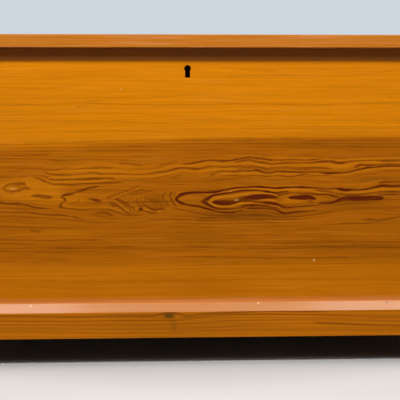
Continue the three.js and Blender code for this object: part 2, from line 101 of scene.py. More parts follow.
def camera_axes():
    """The camera's forward, right and up directions."""
    forward = Vector((
        math.sin(CAMERA_YAW) * math.cos(CAMERA_PITCH),
        math.cos(CAMERA_YAW) * math.cos(CAMERA_PITCH),
        -math.sin(CAMERA_PITCH),
    ))
    right = Vector((math.cos(CAMERA_YAW), -math.sin(CAMERA_YAW), 0))
    return forward, right, right.cross(forward)


FORWARD, RIGHT, UP = camera_axes()
CAMERA_PLACE = Vector((AIM_SIDE, FRONT_FACE, AIM_HEIGHT)) - FORWARD * CAMERA_DISTANCE


def on_plane(pixel_x, pixel_y, depth=FRONT_FACE):
    """The x and z at which a pixel of the photograph meets the upright plane y = depth."""
    ray = FORWARD * FOCAL_PIXELS + RIGHT * (pixel_x - PHOTO_MIDDLE) - UP * (pixel_y - PHOTO_MIDDLE)
    reach = (depth - CAMERA_PLACE.y) / ray.y
    point = CAMERA_PLACE + ray * reach
    return point.x, point.z


def column(pixel_x):
    """The x on the front board of a column of the photograph, in the middle of its height."""
    return on_plane(pixel_x, PHOTO_MIDDLE)[0]


def row(pixel_y):
    """The z on the front board of a row of the photograph, in the middle of its width."""
    return on_plane(PHOTO_MIDDLE, pixel_y)[1]


# The width of a pixel on the front board
PIXEL = column(PHOTO_MIDDLE + 1) - column(PHOTO_MIDDLE)


def tone(red, green, blue):
    """A linear colour from the 0 to 255 values that it shows as."""
    def linear(value):
        share = value / 255
        return share / 12.92 if share <= 0.04045 else ((share + 0.055) / 1.055) ** 2.4
    return (linear(red), linear(green), linear(blue), 1.0)


# Colours. A board's tones are those of its sapwood, its heartwood and its late wood.
SAPWOOD = tone(215, 127, 5)
FOOT_SAPWOOD = tone(201, 115, 4)
HEARTWOOD = tone(178, 98, 4)
LATEWOOD = tone(88, 21, 2)
PINE_TONES = (SAPWOOD, HEARTWOOD, LATEWOOD)
LID_TONES = (tone(180, 102, 18), tone(158, 84, 13), tone(128, 52, 8))
PLINTH_TONES = (tone(206, 117, 8), tone(186, 101, 6), LATEWOOD)
# The chamfer's tones are paler and bluer than the plinth's, partly as painted sheen
CHAMFER_TONES_WITH_PAINTED_SHEEN = (tone(188, 116, 48), tone(178, 106, 42), tone(150, 70, 30))
BARE_TONES = (tone(196, 156, 104), tone(176, 130, 84), tone(142, 92, 50))
GLOW = tone(208, 122, 8)
PALE_STREAK = tone(222, 140, 40)
KNOT_WOOD = tone(84, 58, 12)
SPOT = tone(226, 170, 96)
# Painted highlight for two glints on the chamfer
CHAMFER_PAINTED_HIGHLIGHT = tone(250, 226, 196)
WORN_EDGE = tone(222, 160, 96)
# Painted reflection: the chamfer's highlight mirrored in the foot of the front board
FOOT_PAINTED_REFLECTION = tone(218, 158, 112)
# Painted reflection: a paler, bluer tint for the lid's shadow on the front board, as if the room were
# mirrored there
LID_SHADOW_REFLECTION = tone(205, 130, 105)
LID_EDGE = tone(194, 115, 32)
LID_EDGE_PALE = tone(214, 140, 92)
LID_EDGE_DARK = tone(158, 84, 18)
# Rims: partly dust, partly painted shade that holds back the strong light from above
RIM_DUST_AND_SHADE = tone(122, 74, 34)
# Painted shade for the keyhole's recess
KEYHOLE_PAINTED_SHADE = tone(12, 4, 1)
BACKDROP = tone(206, 214, 221)
FLOOR = tone(190, 189, 187)


class Field:
    """A number or vector that varies over a surface: a node's output, with arithmetic that adds nodes."""

    def __init__(self, tree, socket):
        self.tree = tree
        self.socket = socket

    def math(self, operation, *others):
        return node(self.tree, "Math", (self, *others), operation=operation)

    def vector(self, operation, *others):
        return node(self.tree, "VectorMath", (self, *others), operation=operation)

    def __add__(self, other):
        return self.math("ADD", other)

    def __sub__(self, other):
        return self.math("SUBTRACT", other)

    def __rsub__(self, other):
        return constant(self.tree, other).math("SUBTRACT", self)

    def __mul__(self, other):
        return self.math("MULTIPLY", other)

    def __truediv__(self, other):
        return self.math("DIVIDE", other)

    __radd__ = __add__

    def magnitude(self):
        return self.math("ABSOLUTE")

    def fraction(self):
        return self.math("FRACT")

    def at_least(self, other):
        return self.math("MAXIMUM", other)

    def at_most(self, other):
        return self.math("MINIMUM", other)

    def ramp(self, low, high, unit=1.0):
        """0 where this is at or under low units, 1 where it is at or over high ones, and smooth between. low
        may be the larger."""
        ends = {"Value": self, "From Min": low * unit, "From Max": high * unit}
        return node(self.tree, "MapRange", ends, interpolation_type="SMOOTHSTEP")

    def curve(self, points):
        """This value through a curve of given points."""
        made = self.tree.nodes.new("ShaderNodeFloatCurve")
        feed(self.tree, made.inputs["Value"], self)
        shape(made.mapping, [points])
        return Field(self.tree, made.outputs[0])

    def parts(self):
        """The three parts of a vector."""
        made = self.tree.nodes.new("ShaderNodeSeparateXYZ")
        feed(self.tree, made.inputs[0], self)
        return [Field(self.tree, part) for part in made.outputs]


def feed(tree, slot, value):
    """Links a field to a socket, or sets the socket to a plain value."""
    if isinstance(value, Field):
        tree.links.new(value.socket, slot)
    else:
        slot.default_value = value


def node(tree, kind, inputs=(), output=0, **settings):
    """Adds a shader node. Its inputs are a list in socket order, or a dict by socket name."""
    made = tree.nodes.new("ShaderNode" + kind)
    for name, value in settings.items():
        setattr(made, name, value)
    pairs = inputs.items() if isinstance(inputs, dict) else enumerate(inputs)
    for key, value in pairs:
        feed(tree, made.inputs[key], value)
    return Field(tree, made.outputs[output])


def constant(tree, number):
    made = tree.nodes.new("ShaderNodeValue")
    made.outputs[0].default_value = number
    return Field(tree, made.outputs[0])


def combine(tree, x, y, z):
    return node(tree, "CombineXYZ", (x, y, z))


def blend(factor, first, second):
    """A colour that goes from first to second as factor goes from 0 to 1."""
    made = factor.tree.nodes.new("ShaderNodeMix")
    made.data_type = "RGBA"
    feed(factor.tree, made.inputs["Factor"], factor)
    feed(factor.tree, made.inputs["A"], first)
    feed(factor.tree, made.inputs["B"], second)
    return Field(factor.tree, made.outputs["Result"])


def shade(colour, level):
    """A colour times a number that varies."""
    return node(colour.tree, "VectorMath", {0: colour, "Scale": level}, operation="SCALE")


def shape(mapping, lines):
    """Gives the lines of a curve node their points. The node keeps each line as a row of samples, so its
    range is no longer than the points need."""
    places = [place for points in lines for place, value in points]
    mapping.clip_min_x = min(places)
    mapping.clip_max_x = max(places)
    mapping.extend = "HORIZONTAL"
    for line, points in zip(mapping.curves, lines):
        ordered = sorted(points)
        line.points[0].location = ordered[0]
        line.points[-1].location = ordered[-1]
        for point in ordered[1:-1]:
            line.points.new(*point)
        for point in line.points:
            point.handle_type = "AUTO_CLAMPED"
    mapping.update()


def place_of(tree):
    """Where a point of the surface is in the frame at rest, as three fields."""
    made = tree.nodes.new("ShaderNodeTexCoord")
    return Field(tree, made.outputs["Object"]).parts()


def noise_field(along, across, depth, stretch, fine, seed=0.0, detail=2.0, rough=0.5):
    """Noise from 0 to 1 whose features are 1/stretch long along the grain and 1/fine wide across it."""
    tree = along.tree
    place = combine(tree, along * stretch + seed, across * fine + seed * 1.7, depth * fine)
    inputs = {"Vector": place, "Scale": 1.0, "Detail": detail, "Roughness": rough}
    return node(tree, "TexNoise", inputs, "Fac")


def new_material(name):
    """A material with its node tree and its shader."""
    material = bpy.data.materials.new(name)
    material.use_nodes = True
    tree = material.node_tree
    return material, tree, tree.nodes["Principled BSDF"]


def wire(tree, shader, relief, distance, height, sockets):
    """Gives a shader its relief and its other sockets their fields or plain values."""
    bump = node(tree, "Bump", {"Strength": relief, "Distance": distance, "Height": height})
    for name, value in {"Normal": bump, **sockets}.items():
        feed(tree, shader.inputs[name], value)


# Wood

# How dark a ring is, from its inner side to its outer one
RING_SHAPE = ((0, 0.0), (0.35, 0.06), (0.62, 0.28), (0.82, 0.85), (0.9, 1.0), (0.96, 0.7), (1, 0.0))
RIPPLE = 0.8 * MM
HEART_RIM = 4 * MM
WORN_REACH = 5 * MM
FIBRE_SHEEN = (1.0, 0.5, 0.12, 1.0)
FIBRE_HEIGHT = 0.4 * MM
END_DARK = 0.26
# How far the rims are darkened, partly for dust and partly as painted shade
RIM_DUST_AND_SHADE_SHARE = 0.6
STRAP_SINK = 3.1 * MM

# How far from a face or an arris a look starts and is full, in millimetres
RIM_FADE = (0.6, 0.3)
END_FADE = (0.4, 0.15)
INNER_FADE = (-0.3, -0.05)
WORN_FADE = (0.0, -2.2)
FOOT_FADE = (10, -2)
SHAFT_FADE = (0.4, 0.8)
BEHIND_FADE = (-0.4, -1)
LID_FADE = (2.0, 0.5)
LID_TOP_FADE = (-2.0, -0.8)
NOTCH_FADE = (0.4, 0.8)

# How a board lies: the axes that its grain runs along and across, and the one of its depth
LYING = {"x": (0, 2, 1), "x_flat": (0, 1, 2), "y": (1, 2, 0), "y_flat": (1, 0, 2)}


def ring_pattern(count, seed):
    """How much of a point is dark late wood, and a number that its ring has for itself."""
    whole = count.math("FLOOR") + seed
    own = node(count.tree, "TexWhiteNoise", {"W": whole}, "Value", noise_dimensions="1D")
    return count.fraction().curve(RING_SHAPE), own


def growth_rings(along, across, depth, seed, gap, wander, lean):
    """A trunk along the grain: how far a point is from its pith, and the pattern of its rings."""
    drift = noise_field(along, across, depth, 1.3, 3.0, seed) - 0.5
    waver = noise_field(along, across, depth, 10.0, 60.0, seed + 3) - 0.5
    bow = noise_field(along, across * 0, depth * 0, 2.2, 1.0, seed + 7) - 0.5
    height = across + bow * (4 * wander)
    inside = depth + along * lean
    radius = (height * height + inside * inside).math("SQRT") + drift * (2 * wander) + waver * RIPPLE
    spread = noise_field(radius, across * 0, depth * 0, 22.0, 1.0, seed + 11) * 2.5
    return radius, ring_pattern(radius / gap + spread, seed)


def streaks(along, across, depth, seed):
    """Fibres: broad soft bands, thin streaks and hair-fine ones, each from -0.5 to 0.5."""
    broad = noise_field(along, across, depth, 2.0, 26.0, seed + 19) - 0.5
    thin = noise_field(along, across, depth, 7.0, 330.0, seed + 23, 3.0, 0.6) - 0.5
    hair = noise_field(along, across, depth, 28.0, 1500.0, seed + 29, 2.0) - 0.5
    return broad, thin, hair


def edge_distance(place, low, high):
    """How far a point of a board's surface is from the nearest arris of its box."""
    gaps = []
    for value, first, last in zip(place, low, high):
        gaps.append((value - first).magnitude().at_most((value - last).magnitude()))
    a, b, c = gaps
    return a.at_most(b).at_least(a.at_least(b).at_most(c))


def rim(z, top):
    """1 on the upward faces at a height, which take dust and hands and are painted darker, partly as painted
    shade against the strong light from above.
    """
    return (z - top).magnitude().ramp(*RIM_FADE, MM)


def end_grain(along, first, last):
    """1 on the faces that cut across the grain at the ends of a board."""
    return (along - first).magnitude().at_most((along - last).magnitude()).ramp(*END_FADE, MM)


def inside_of(value, limit, sign):
    """1 on the faces that look into the chest, past a limit on the side that the sign gives."""
    return (value * sign - limit * sign).ramp(*INNER_FADE, MM)


def finish_wood(tree, shader, colour, height, rough, coat=0.06, level=0.3, coat_rough=0.14, relief=0.25):
    """Wires a wood's colour, roughness and relief to its shader, under a thin varnish."""
    wire(tree, shader, relief, FIBRE_HEIGHT, height, {
        "Base Color": colour, "Roughness": rough, "Specular Tint": FIBRE_SHEEN, "Specular IOR Level": level,
        "Coat Weight": coat, "Coat Roughness": coat_rough,
    })


def board_colour(pattern, fibres, heart, tones, contrast):
    """A board's colour from its rings, fibres and how much of it is heartwood."""
    late, own = pattern
    broad, thin, hair = fibres
    sap_tone, heart_tone, late_tone = tones
    base = blend(heart, sap_tone, heart_tone)
    base = shade(base, 1.0 + broad * 0.16 + thin * 0.34 + hair * 0.16)
    depth = late * (own * 0.8 + 0.35) * contrast * (1.0 + thin * 1.2)
    return blend(depth.at_most(1.0).at_least(0.0), base, late_tone)


def pine(piece, lying, seed, heart_at, pith, heart_radius=0.09, gap=6 * MM, contrast=0.5, tones=PINE_TONES,
         bare=0, bare_to=None, lean=0.02, wander=5 * MM, wear=0.35, marks=None, name=None, **finish):
    """A pine board's material. heart_at is where the middle of the tree lies across the board, and pith is
    how far outside the board it lies in depth, past the low face if it is under 0. bare is 1 or -1 if the
    high or the low face in depth is a bare inner one, and bare_to gives another axis and place for it. marks
    adds what the photograph shows on the board."""
    material, tree, shader = new_material(name or piece + "_pine")
    place = place_of(tree)
    low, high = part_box(piece)
    grain, side, deep = LYING[lying]
    along = place[grain]
    across = place[side] - heart_at
    depth = place[deep] - (pith + (low if pith < 0 else high)[deep])
    radius, pattern = growth_rings(along, across, depth, seed, gap, wander, lean)
    fibres = streaks(along, across, depth, seed)
    heart = radius.ramp(heart_radius + HEART_RIM, heart_radius - HEART_RIM)
    colour = board_colour(pattern, fibres, heart, tones, contrast)
    if marks:
        colour = marks(*place, fibres, colour)
    colour = shade(colour, 1.0 - end_grain(along, low[grain], high[grain]) * END_DARK)
    # The rim is darkened, partly for dust and partly as painted shade against the strong light from above
    colour = blend(rim(place[2], FRONT_HIGH.z) * RIM_DUST_AND_SHADE_SHARE, colour, RIM_DUST_AND_SHADE)
    if bare:
        axis, limit = bare_to or (deep, (low if bare < 0 else high)[deep])
        inner = inside_of(place[axis], limit, bare)
        colour = blend(inner, colour, board_colour(pattern, fibres, heart, BARE_TONES, contrast * 0.8))
    edge = edge_distance(place, low, high)
    scuffs = noise_field(*place, 60.0, 60.0, seed + 31, 3.0, 0.65)
    worn = (edge - scuffs * WORN_REACH).ramp(*WORN_FADE, MM) * wear
    colour = blend(worn, colour, WORN_EDGE)
    late = pattern[0]
    thin, hair = fibres[1:]
    height = late * 0.5 + thin + hair * 0.6
    rough = 0.46 + thin * 0.2 - late * 0.08
    finish_wood(tree, shader, colour, height, rough, **finish)
    return material


# The front board's figure, read off the photograph in its pixels. Each line is how dark it is, then its
# points: x, y and its half width there in tenths of a pixel. It ends at a point that gives no width.

# The heartwood's upper and lower rims
HEART_TOP = (
    (-120, 148), (0, 145.4), (100, 142.6), (150, 141), (200, 139), (250, 137.5), (300, 137),
    (400, 136.5), (500, 136),
)
HEART_FOOT = ((-120, 269), (0, 266), (200, 264), (400, 262), (500, 262))

LINES_ACROSS = (
    # Along the top of the heartwood
    (0.30, (-120, 147, 8), (0, 144.7, 8), (54, 143.4, 7), (83, 142.3, 10), (107, 141, 9), (130, 140)),
    (0.30, (165, 141), (185, 140.5, 10), (250, 139, 16), (330, 139.5, 14), (400, 139, 12), (500, 139, 12)),
    (0.50, (26, 155), (33, 154.8, 7), (42, 155.1, 7), (48, 155.3, 6), (56, 155.5)),
    (0.40, (-120, 159, 8), (0, 158.2, 9), (8, 158.3, 8), (14, 158.4)),
    (0.45, (257, 154.6), (263, 155.2, 7), (269, 156, 7), (276, 156)),
    (0.35, (286, 155), (292, 155.4, 8), (300, 156.2, 6), (312, 156.4, 5), (330, 155.6)),
    (0.30, (196, 150), (206, 149.4, 7), (218, 149, 7), (232, 148.8)),
    (0.30, (296, 142.4), (304, 143, 9), (314, 144.2, 9), (326, 144.6, 6), (340, 144.8)),
    # The wavy lines over the middle, left
    (0.55, (16, 170), (20, 169.8, 5), (28, 168.6, 7), (42, 169.8, 7), (53, 169.9, 8), (59, 169.4, 10),
     (65, 168.1, 10), (74, 169.3, 8), (82, 168.6, 8), (96, 168, 7), (110, 167.7, 6), (130, 167.4)),
    (0.65, (112, 163.2), (120, 163.4, 4), (134, 164.3, 8), (138, 164.7, 10), (142, 165.4, 7), (146, 166)),
    (0.72, (42, 170.6), (45, 172, 6), (51, 174.1, 9), (60, 174.9, 8), (68, 174.8, 8), (81, 173.7, 9),
     (94, 172.9, 10), (103, 174, 9), (114, 173.9, 8), (123, 174.1, 6), (143, 174.5, 6), (155, 172.8, 8),
     (163, 171.7, 9), (169, 170.3, 8), (176, 168.6, 9), (181, 167.7, 10), (189, 168.1, 10),
     (197, 168.8, 10), (202, 168.1, 9), (207, 166.6, 9), (212, 166.1, 7), (221, 167.1, 8), (229, 166.6, 7),
     (239, 166.5, 7), (246, 167.1, 8), (255, 166.6, 8), (260, 167.4, 10), (267, 168.8, 10), (273, 167.5, 8),
     (280, 167.1, 7), (289, 167.4, 10), (297, 168.2, 13), (306, 168.6, 12), (314, 167.8, 7),
     (324, 168.2, 9), (330, 168.8, 5), (336, 169.4)),
    (0.55, (38, 174.6), (41, 175.8, 8), (46, 177.1, 12), (49, 178.4)),
    (0.72, (46, 178.8), (50, 179.6, 7), (58, 180, 8), (68, 179.4, 8), (81, 179.2, 9), (94, 178.8, 11),
     (103, 178.4, 12), (110, 178.2, 13), (114, 178.8, 11), (117, 179.4)),
    (0.76, (31, 176.8), (35, 177.7, 8), (39, 178.5, 10), (43, 180.5, 10), (48, 182.3, 10), (53, 184.3, 10),
     (60, 184.4, 8), (73, 184.7, 10), (81, 183.9, 8), (94, 183.6, 7), (106, 183, 8), (120, 182.2, 6),
     (127, 182)),
    (0.50, (-120, 178, 7), (0, 176.8, 9), (7, 177.1, 9), (13, 177.1, 7), (24, 176.8, 4), (32, 176.8)),
    (0.50, (157, 165.6), (161.5, 164.7, 7), (167.5, 163.9, 9), (172.6, 162.3, 9), (177, 160.8, 6),
     (181, 159.6)),
    (0.35, (95, 180), (112, 181, 5), (140, 179.4, 8), (154, 178, 8), (170, 175.6, 6), (186, 174.6)),
    (0.30, (116, 169.8), (126, 170.2, 7), (144, 169.6, 6), (158, 167.6, 6), (170, 165.6)),
    (0.35, (134, 184), (142, 181.6, 7), (150, 181.8, 9), (158, 181, 6), (164, 180)),
    # The wavy lines over the middle, right
    (0.80, (180, 164.4), (184.5, 163.9, 9), (190.5, 163.4, 10), (197, 162.6, 11), (205, 160.9, 9),
     (212, 160.3, 9), (220, 161.1, 11), (229, 160.5, 8), (236, 159.8, 7), (243, 158.3, 8), (250, 157.3, 9),
     (256, 158.1, 10), (263, 158.9, 8), (270, 159.9, 8), (280, 160, 6), (289, 159.4, 7), (305, 160, 6),
     (318, 159.2, 5), (328, 158.6)),
    (0.80, (232, 163), (236, 162.3, 6), (243, 160.9, 8), (250, 160, 8), (257, 162, 10), (264, 162.6, 8),
     (272, 164.1, 11), (277, 163.7, 8), (289, 162.6, 8), (304, 162.7, 7), (316, 162.3, 7), (326, 161.6, 9),
     (331, 161.3, 12), (334.5, 162.2, 13), (338.6, 163, 12), (345, 162.4, 9), (354, 160.9, 7),
     (364, 160.4, 8), (375, 160.3, 7), (386, 160.5, 10), (400, 160.2, 10), (500, 161, 8)),
    (0.85, (208, 175.6), (211, 174.6, 8), (214.6, 173.7, 10), (217, 172.2, 9), (223, 171.4, 7),
     (231, 171.7, 8), (241, 171.4, 8), (250, 170.9, 8), (256, 170.4, 9), (261.5, 171.7, 12),
     (267, 173.1, 12), (272, 172.7, 11), (277, 171.5, 9), (285, 171.7, 9), (297, 172.2, 10),
     (307, 172.2, 9), (318, 172, 8), (324, 172.7, 11), (335, 172.9, 13), (345, 172.4, 10), (351, 171.6, 9),
     (357, 169.8, 9), (362.5, 168.7, 8), (368.4, 167.4, 9), (375, 166.9, 7), (384, 166.2, 7),
     (400, 165.8, 7), (500, 166.5, 8)),
    (0.80, (353, 168), (355.6, 167.2, 10), (358, 165.7, 11), (363, 164.7, 9), (369, 165, 8),
     (376, 164.7, 7), (384, 164.3, 8), (400, 164.2, 7), (500, 165, 8)),
    (0.62, (218, 176), (225, 175.7, 6), (236, 175.4, 7), (239.5, 176.4, 9), (246, 176.2, 8),
     (255, 175.1, 7), (260, 175.8, 8), (266, 176.2, 8), (272, 175.8, 6), (277, 175.2, 7), (284, 176.2, 8),
     (291, 176.6, 9), (296, 175.8, 7), (301, 175, 7), (307, 174.2, 6), (312, 175.1, 7), (320, 175.3, 6),
     (328, 174.9, 5), (338, 176.4)),
    (0.35, (350, 175), (357, 174.2, 7), (369, 173.8, 6), (384, 172, 6), (400, 171.4, 6), (500, 171, 6)),
    (0.40, (300, 156.6), (320, 157.4, 5), (345, 157.6, 6), (370, 156.4, 7), (400, 156, 7), (500, 156, 7)),
    (0.45, (232, 168.6), (240, 169.2, 6), (252, 168.2, 7), (258, 169.4, 8), (266, 170.8, 7),
     (274, 169.6, 6), (286, 169.8)),
    (0.30, (228, 184), (236, 183.4, 8), (244, 184.4, 8), (254, 184, 7), (268, 184.6)),
    # The island: its outer line, over and under
    (1.00, (175.4, 198.8, 10), (176.6, 197.8, 20), (179, 196, 20), (182, 194.6, 16), (188, 193.2, 12),
     (197, 192.7, 11), (206, 192.7, 9), (215, 192.2, 10), (221, 191.1, 8), (228, 190, 8), (233, 188.6, 8),
     (243, 187.4, 9), (255, 186.9, 8), (270, 187.7, 8), (277, 188.2, 9), (287, 187.4, 8), (297, 187.3, 7),
     (305, 187.2, 7), (316, 188.2, 7), (327, 188.8, 8), (337, 188.6, 10), (341, 189.3, 16),
     (348, 189.9, 15), (357, 189.4, 9), (366, 189, 9), (372, 187.7, 9), (378, 186.4, 13), (383, 185.7, 14),
     (391, 186.4, 13), (400, 186, 13), (500, 187, 10)),
    (1.00, (175.4, 198.8, 10), (176.8, 200, 18), (180, 202.2, 15), (184, 203.8, 12), (188, 204.7, 10),
     (192, 205.2, 10), (197, 206, 9), (203, 207.4, 9), (212, 209.8, 8), (221, 212, 8), (231, 212.4, 7),
     (239, 210.8, 7), (247, 209)),
    # The island: its second line
    (1.00, (201.6, 201.2, 8), (204, 200.3, 18), (208, 198.6, 18), (212, 195.9, 13), (217, 194.6, 10),
     (225, 193.5, 9), (233, 192.3, 8), (240, 191, 10), (248, 190.3, 9), (255, 190.3, 9), (263, 191.1, 9),
     (272, 192.4, 10), (277, 193.2, 10), (281, 192.4, 8), (287, 192, 5), (293, 191.6)),
    (1.00, (201.6, 201.2, 8), (204, 202.1, 18), (207.4, 203.9, 16), (212, 206.5, 13), (217, 208.2, 10),
     (224, 208.9, 9), (232, 208.2, 7), (243, 207.6, 6), (250, 207)),
    # The dark heart of the island
    (1.00, (211.6, 202), (213.6, 202.2, 12), (220, 202.5, 22), (228, 202.3, 27), (234, 201.6, 25),
     (241, 199.6, 22), (246, 199, 25), (252, 197.9, 30), (260, 196.9, 27), (268, 196.6, 20),
     (276, 197.4, 10), (281, 198)),
    (0.90, (250, 201.4), (255, 201.8, 8), (266, 202.6, 11), (274, 203.4, 13), (279, 204.8, 14),
     (283, 206.8, 12), (288, 207.4, 10), (297, 206.8, 8), (310, 206, 7), (320, 205.2, 6), (326, 205)),
    (0.95, (238, 205.8), (243, 205.6, 6), (249, 205.2, 11), (255, 205.2, 14), (266, 205.9, 14),
     (272, 207.2, 11), (277, 208.2, 8), (282, 209.4)),
    (0.80, (240, 208.6), (247, 208.3, 6), (255, 208.2, 10), (267, 208.3, 10), (277, 210, 11),
     (281, 212.4, 12), (285.4, 213.3, 11), (291, 212.6, 9), (300, 211.6, 8), (312, 210.6, 7), (324, 209.6)),
    (0.80, (275, 196.2), (278, 195.6, 10), (282, 194.6, 11), (287, 193.6, 9), (293, 192.9, 6),
     (301, 193.2, 7), (311, 193.7, 8), (318, 194.5, 7), (325, 194.4, 7), (332, 195.6, 9), (337, 196.8, 12),
     (341, 197.6)),
    (1.00, (286, 197.8), (289.5, 197.6, 9), (295, 197.5, 19), (304.5, 197.3, 24), (311, 197.8, 20),
     (315, 198.6, 11), (317.5, 199)),
    (1.00, (317, 203.6), (320, 203.4, 10), (327.5, 203.2, 13), (332.6, 202.6, 15), (336, 201.4, 16),
     (339, 199.8, 18), (343, 198.7, 22), (350, 198.4, 24), (362, 198.1, 24), (375, 197.9, 23),
     (382, 198, 18), (385, 198.2)),
    (0.60, (310, 190), (318, 190.7, 7), (327.5, 191.6, 7), (338, 193.3, 8), (350, 194.6, 9),
     (358, 194.5, 9), (367, 193.5, 8), (376, 192.3, 8), (386, 191.7, 9), (400, 191.6, 9), (500, 193, 8)),
    (0.75, (383, 199.2), (386, 199.8, 8), (391, 200.1, 10), (396, 199.6, 10), (400, 198.8, 9),
     (500, 200, 8)),
    (0.65, (374, 195), (380, 194.7, 8), (390, 194.6, 10), (400, 194.5, 10), (500, 196, 8)),
    (0.55, (376, 183.2), (381, 182.4, 9), (388, 181.8, 11), (400, 181.8, 11), (500, 182, 10)),
    # The left side: the eye, the short dark lens and the crooked line
    (0.72, (2.6, 188.6, 12), (5, 186.6, 18), (9, 184.9, 13), (14, 183.9, 13), (20, 183.6, 16),
     (25, 183.9, 13), (27, 184.2)),
    (0.70, (2.6, 188.6, 12), (5, 190, 15), (9, 191.2, 12), (14, 191.3, 10), (18, 190.5, 12),
     (21, 189.2, 18), (25, 187.8, 16), (29, 188.4, 7), (33, 189)),
    (0.55, (10, 186.8), (12.6, 186, 8), (16, 185.6, 9), (20, 186.2, 8), (24, 186)),
    (0.80, (29, 195.8), (32, 195.8, 5), (36, 195.8, 10), (41, 196.2, 17), (46, 197.1, 20),
     (49.5, 197.1, 15), (51.5, 196.7, 8), (54, 196.5)),
    (0.90, (62, 195.9, 8), (64.3, 195.4, 11), (68.2, 194.6, 12), (73.3, 193.7, 11), (75.9, 191.9, 13),
     (80, 191, 16), (85.3, 189.4, 12), (90.4, 187.8, 9), (96.3, 186.7, 7), (104, 185.8)),
    (0.62, (60, 206.6, 9), (64.8, 208.2, 9), (73, 209, 8), (85, 209.8, 8), (94, 209.2, 7), (106, 209.3, 9),
     (112, 210.3, 9), (118, 212.4, 9), (124, 214.4, 8), (138, 215, 6), (150, 215.4)),
    (0.72, (85, 199), (89, 198.6, 5), (93, 199.6, 10), (97, 200.7, 17), (100.4, 201.2, 14), (104, 201.6)),
    (0.50, (66, 203), (71, 203.8, 9), (75, 202.6, 14), (79, 200.6, 13), (81, 198)),
    (0.90, (-120, 202, 8), (0, 202.7, 13), (5, 203.4, 9), (13, 203.8, 10), (20.5, 203.9, 13),
     (24, 204.6, 11), (28, 205.6, 8), (34, 207.2, 9), (40, 207.9, 8), (48, 208.4, 4), (58, 208.6)),
    (0.60, (-120, 210, 6), (0, 212.4, 7), (21, 212.5, 8), (32, 212.6, 9), (38, 213.7, 8), (48, 215, 8),
     (60, 215, 9), (68, 215.9, 7), (77, 218, 7), (88, 219.4)),
    (0.40, (-120, 206, 5), (0, 208.4, 6), (14, 208.8, 6), (30, 210, 5), (50, 211.4)),
    (0.45, (-120, 215, 5), (0, 216.4, 6), (30, 217.4, 6), (60, 219.4, 7), (92, 222.2, 7), (140, 222.6)),
    # The curled grain between
    (0.55, (105, 198.8), (107.4, 197.9, 10), (112, 196.3, 10), (117, 194.6, 8), (123, 192.4, 9),
     (129, 190.3, 8), (135, 187.7, 8), (140, 185.8, 4), (146, 184)),
    (0.40, (114, 199), (118, 197.6, 7), (124, 195.4, 8), (132, 192.8, 7), (141, 189.4, 6), (150, 187)),
    (0.75, (113.6, 198.2), (115.8, 198.8, 9), (119.7, 200.5, 14), (123, 202.1, 11), (126, 203.6, 8),
     (130, 206.4, 9), (133.4, 208.8, 10), (135.4, 211.4)),
    (0.75, (108, 204.4), (112, 204.8, 8), (118, 206, 10), (122.3, 209, 12), (126.5, 212.4, 11),
     (129.6, 213.6, 8), (133, 214.4)),
    (0.70, (120, 203.4), (124, 205.4, 10), (127.6, 207.4, 11), (130.6, 210.6, 13), (132, 213.4)),
    (0.60, (104, 203), (110, 202.4, 7), (115, 203, 8), (120, 205.2)),
    (0.65, (134, 199.4), (137, 201.8, 10), (139.4, 205.2, 12), (141, 208, 13), (144, 211, 9),
     (149.6, 212.6, 9), (155, 212.9, 7), (160, 213)),
    (0.65, (139.4, 202), (142, 203.4, 10), (146, 206.4, 11), (149.6, 208.4, 10), (156, 209.7, 12),
     (160.6, 208.7, 11), (164, 209.6, 11), (165.4, 212.4)),
    (0.70, (92, 215.4), (96, 214, 8), (100, 212.7, 11), (107, 213.3, 13), (111, 214.8, 10), (116, 216.6)),
    (0.50, (84, 213), (92, 214.6, 6), (99, 216.2, 8), (106, 217.6, 8), (118, 218.4, 6), (134, 218.6)),
    (0.40, (122, 190.6), (130, 194, 6), (138, 193.4, 7), (148, 191.6, 7), (158, 190)),
    (0.40, (140, 196.6), (146, 198.4, 8), (153, 199.8, 9), (159, 199)),
    # Under the island
    (0.45, (166, 205), (174, 208, 6), (186, 210.4, 8), (204, 213.5, 8), (222, 215.4, 9), (255, 214.6, 9),
     (281, 217, 8), (300, 216, 7), (319, 213.4, 7), (357, 208.6, 7), (400, 208, 7), (500, 208, 6)),
    (0.40, (306, 209), (320, 207.8, 6), (340, 204.8, 7), (352, 203, 7), (366, 202.6, 7), (384, 203.2)),
    (0.50, (146, 219.6), (151, 219.7, 7), (168, 219.7, 8), (185, 219.7, 8), (210, 220.6, 7),
     (250, 219.8, 7), (293, 219.6, 6), (316, 219)),
    (0.50, (196, 217.4), (204, 218, 9), (214, 217.6, 7), (232, 217.2, 7), (246, 216.2)),
    (0.55, (355, 219.6), (364, 219.4, 7), (369, 219.3, 11), (374, 219.4, 6), (382, 219.6)),
    (0.50, (320, 224.6), (350, 223, 7), (362, 223.4, 8), (375, 221.7, 8), (388, 219, 8), (400, 216.6, 8),
     (500, 215, 7)),
    (0.35, (165, 222.6), (179, 223, 6), (204, 223.7, 7), (250, 223, 6), (293, 222.6, 6), (316, 222)),
    # The fine straight lines of the lower heartwood
    (0.50, (-120, 239, 7), (0, 239.4, 7), (40, 240.6, 7), (90, 240, 6), (120, 241)),
    (0.40, (-120, 243, 6), (0, 243.4, 6), (24, 244.2, 6), (60, 243.6)),
    (0.45, (40, 248.8), (60, 248.4, 8), (100, 247.6, 7), (130, 246.6, 6), (150, 246.4)),
    (0.40, (-120, 250.6, 6), (0, 251, 6), (48, 252, 7), (84, 251.4, 5), (108, 252)),
    (0.40, (-120, 226, 5), (0, 226.6, 5), (30, 228, 6), (80, 228.6, 5), (120, 229.6)),
    (0.75, (28, 230.4), (32, 230.6, 8), (36, 231, 11), (40, 231.4, 8), (43, 231.6)),
    (0.35, (150, 243), (200, 247, 7), (260, 249, 9), (330, 247, 9), (400, 247.6, 8), (500, 248, 7)),
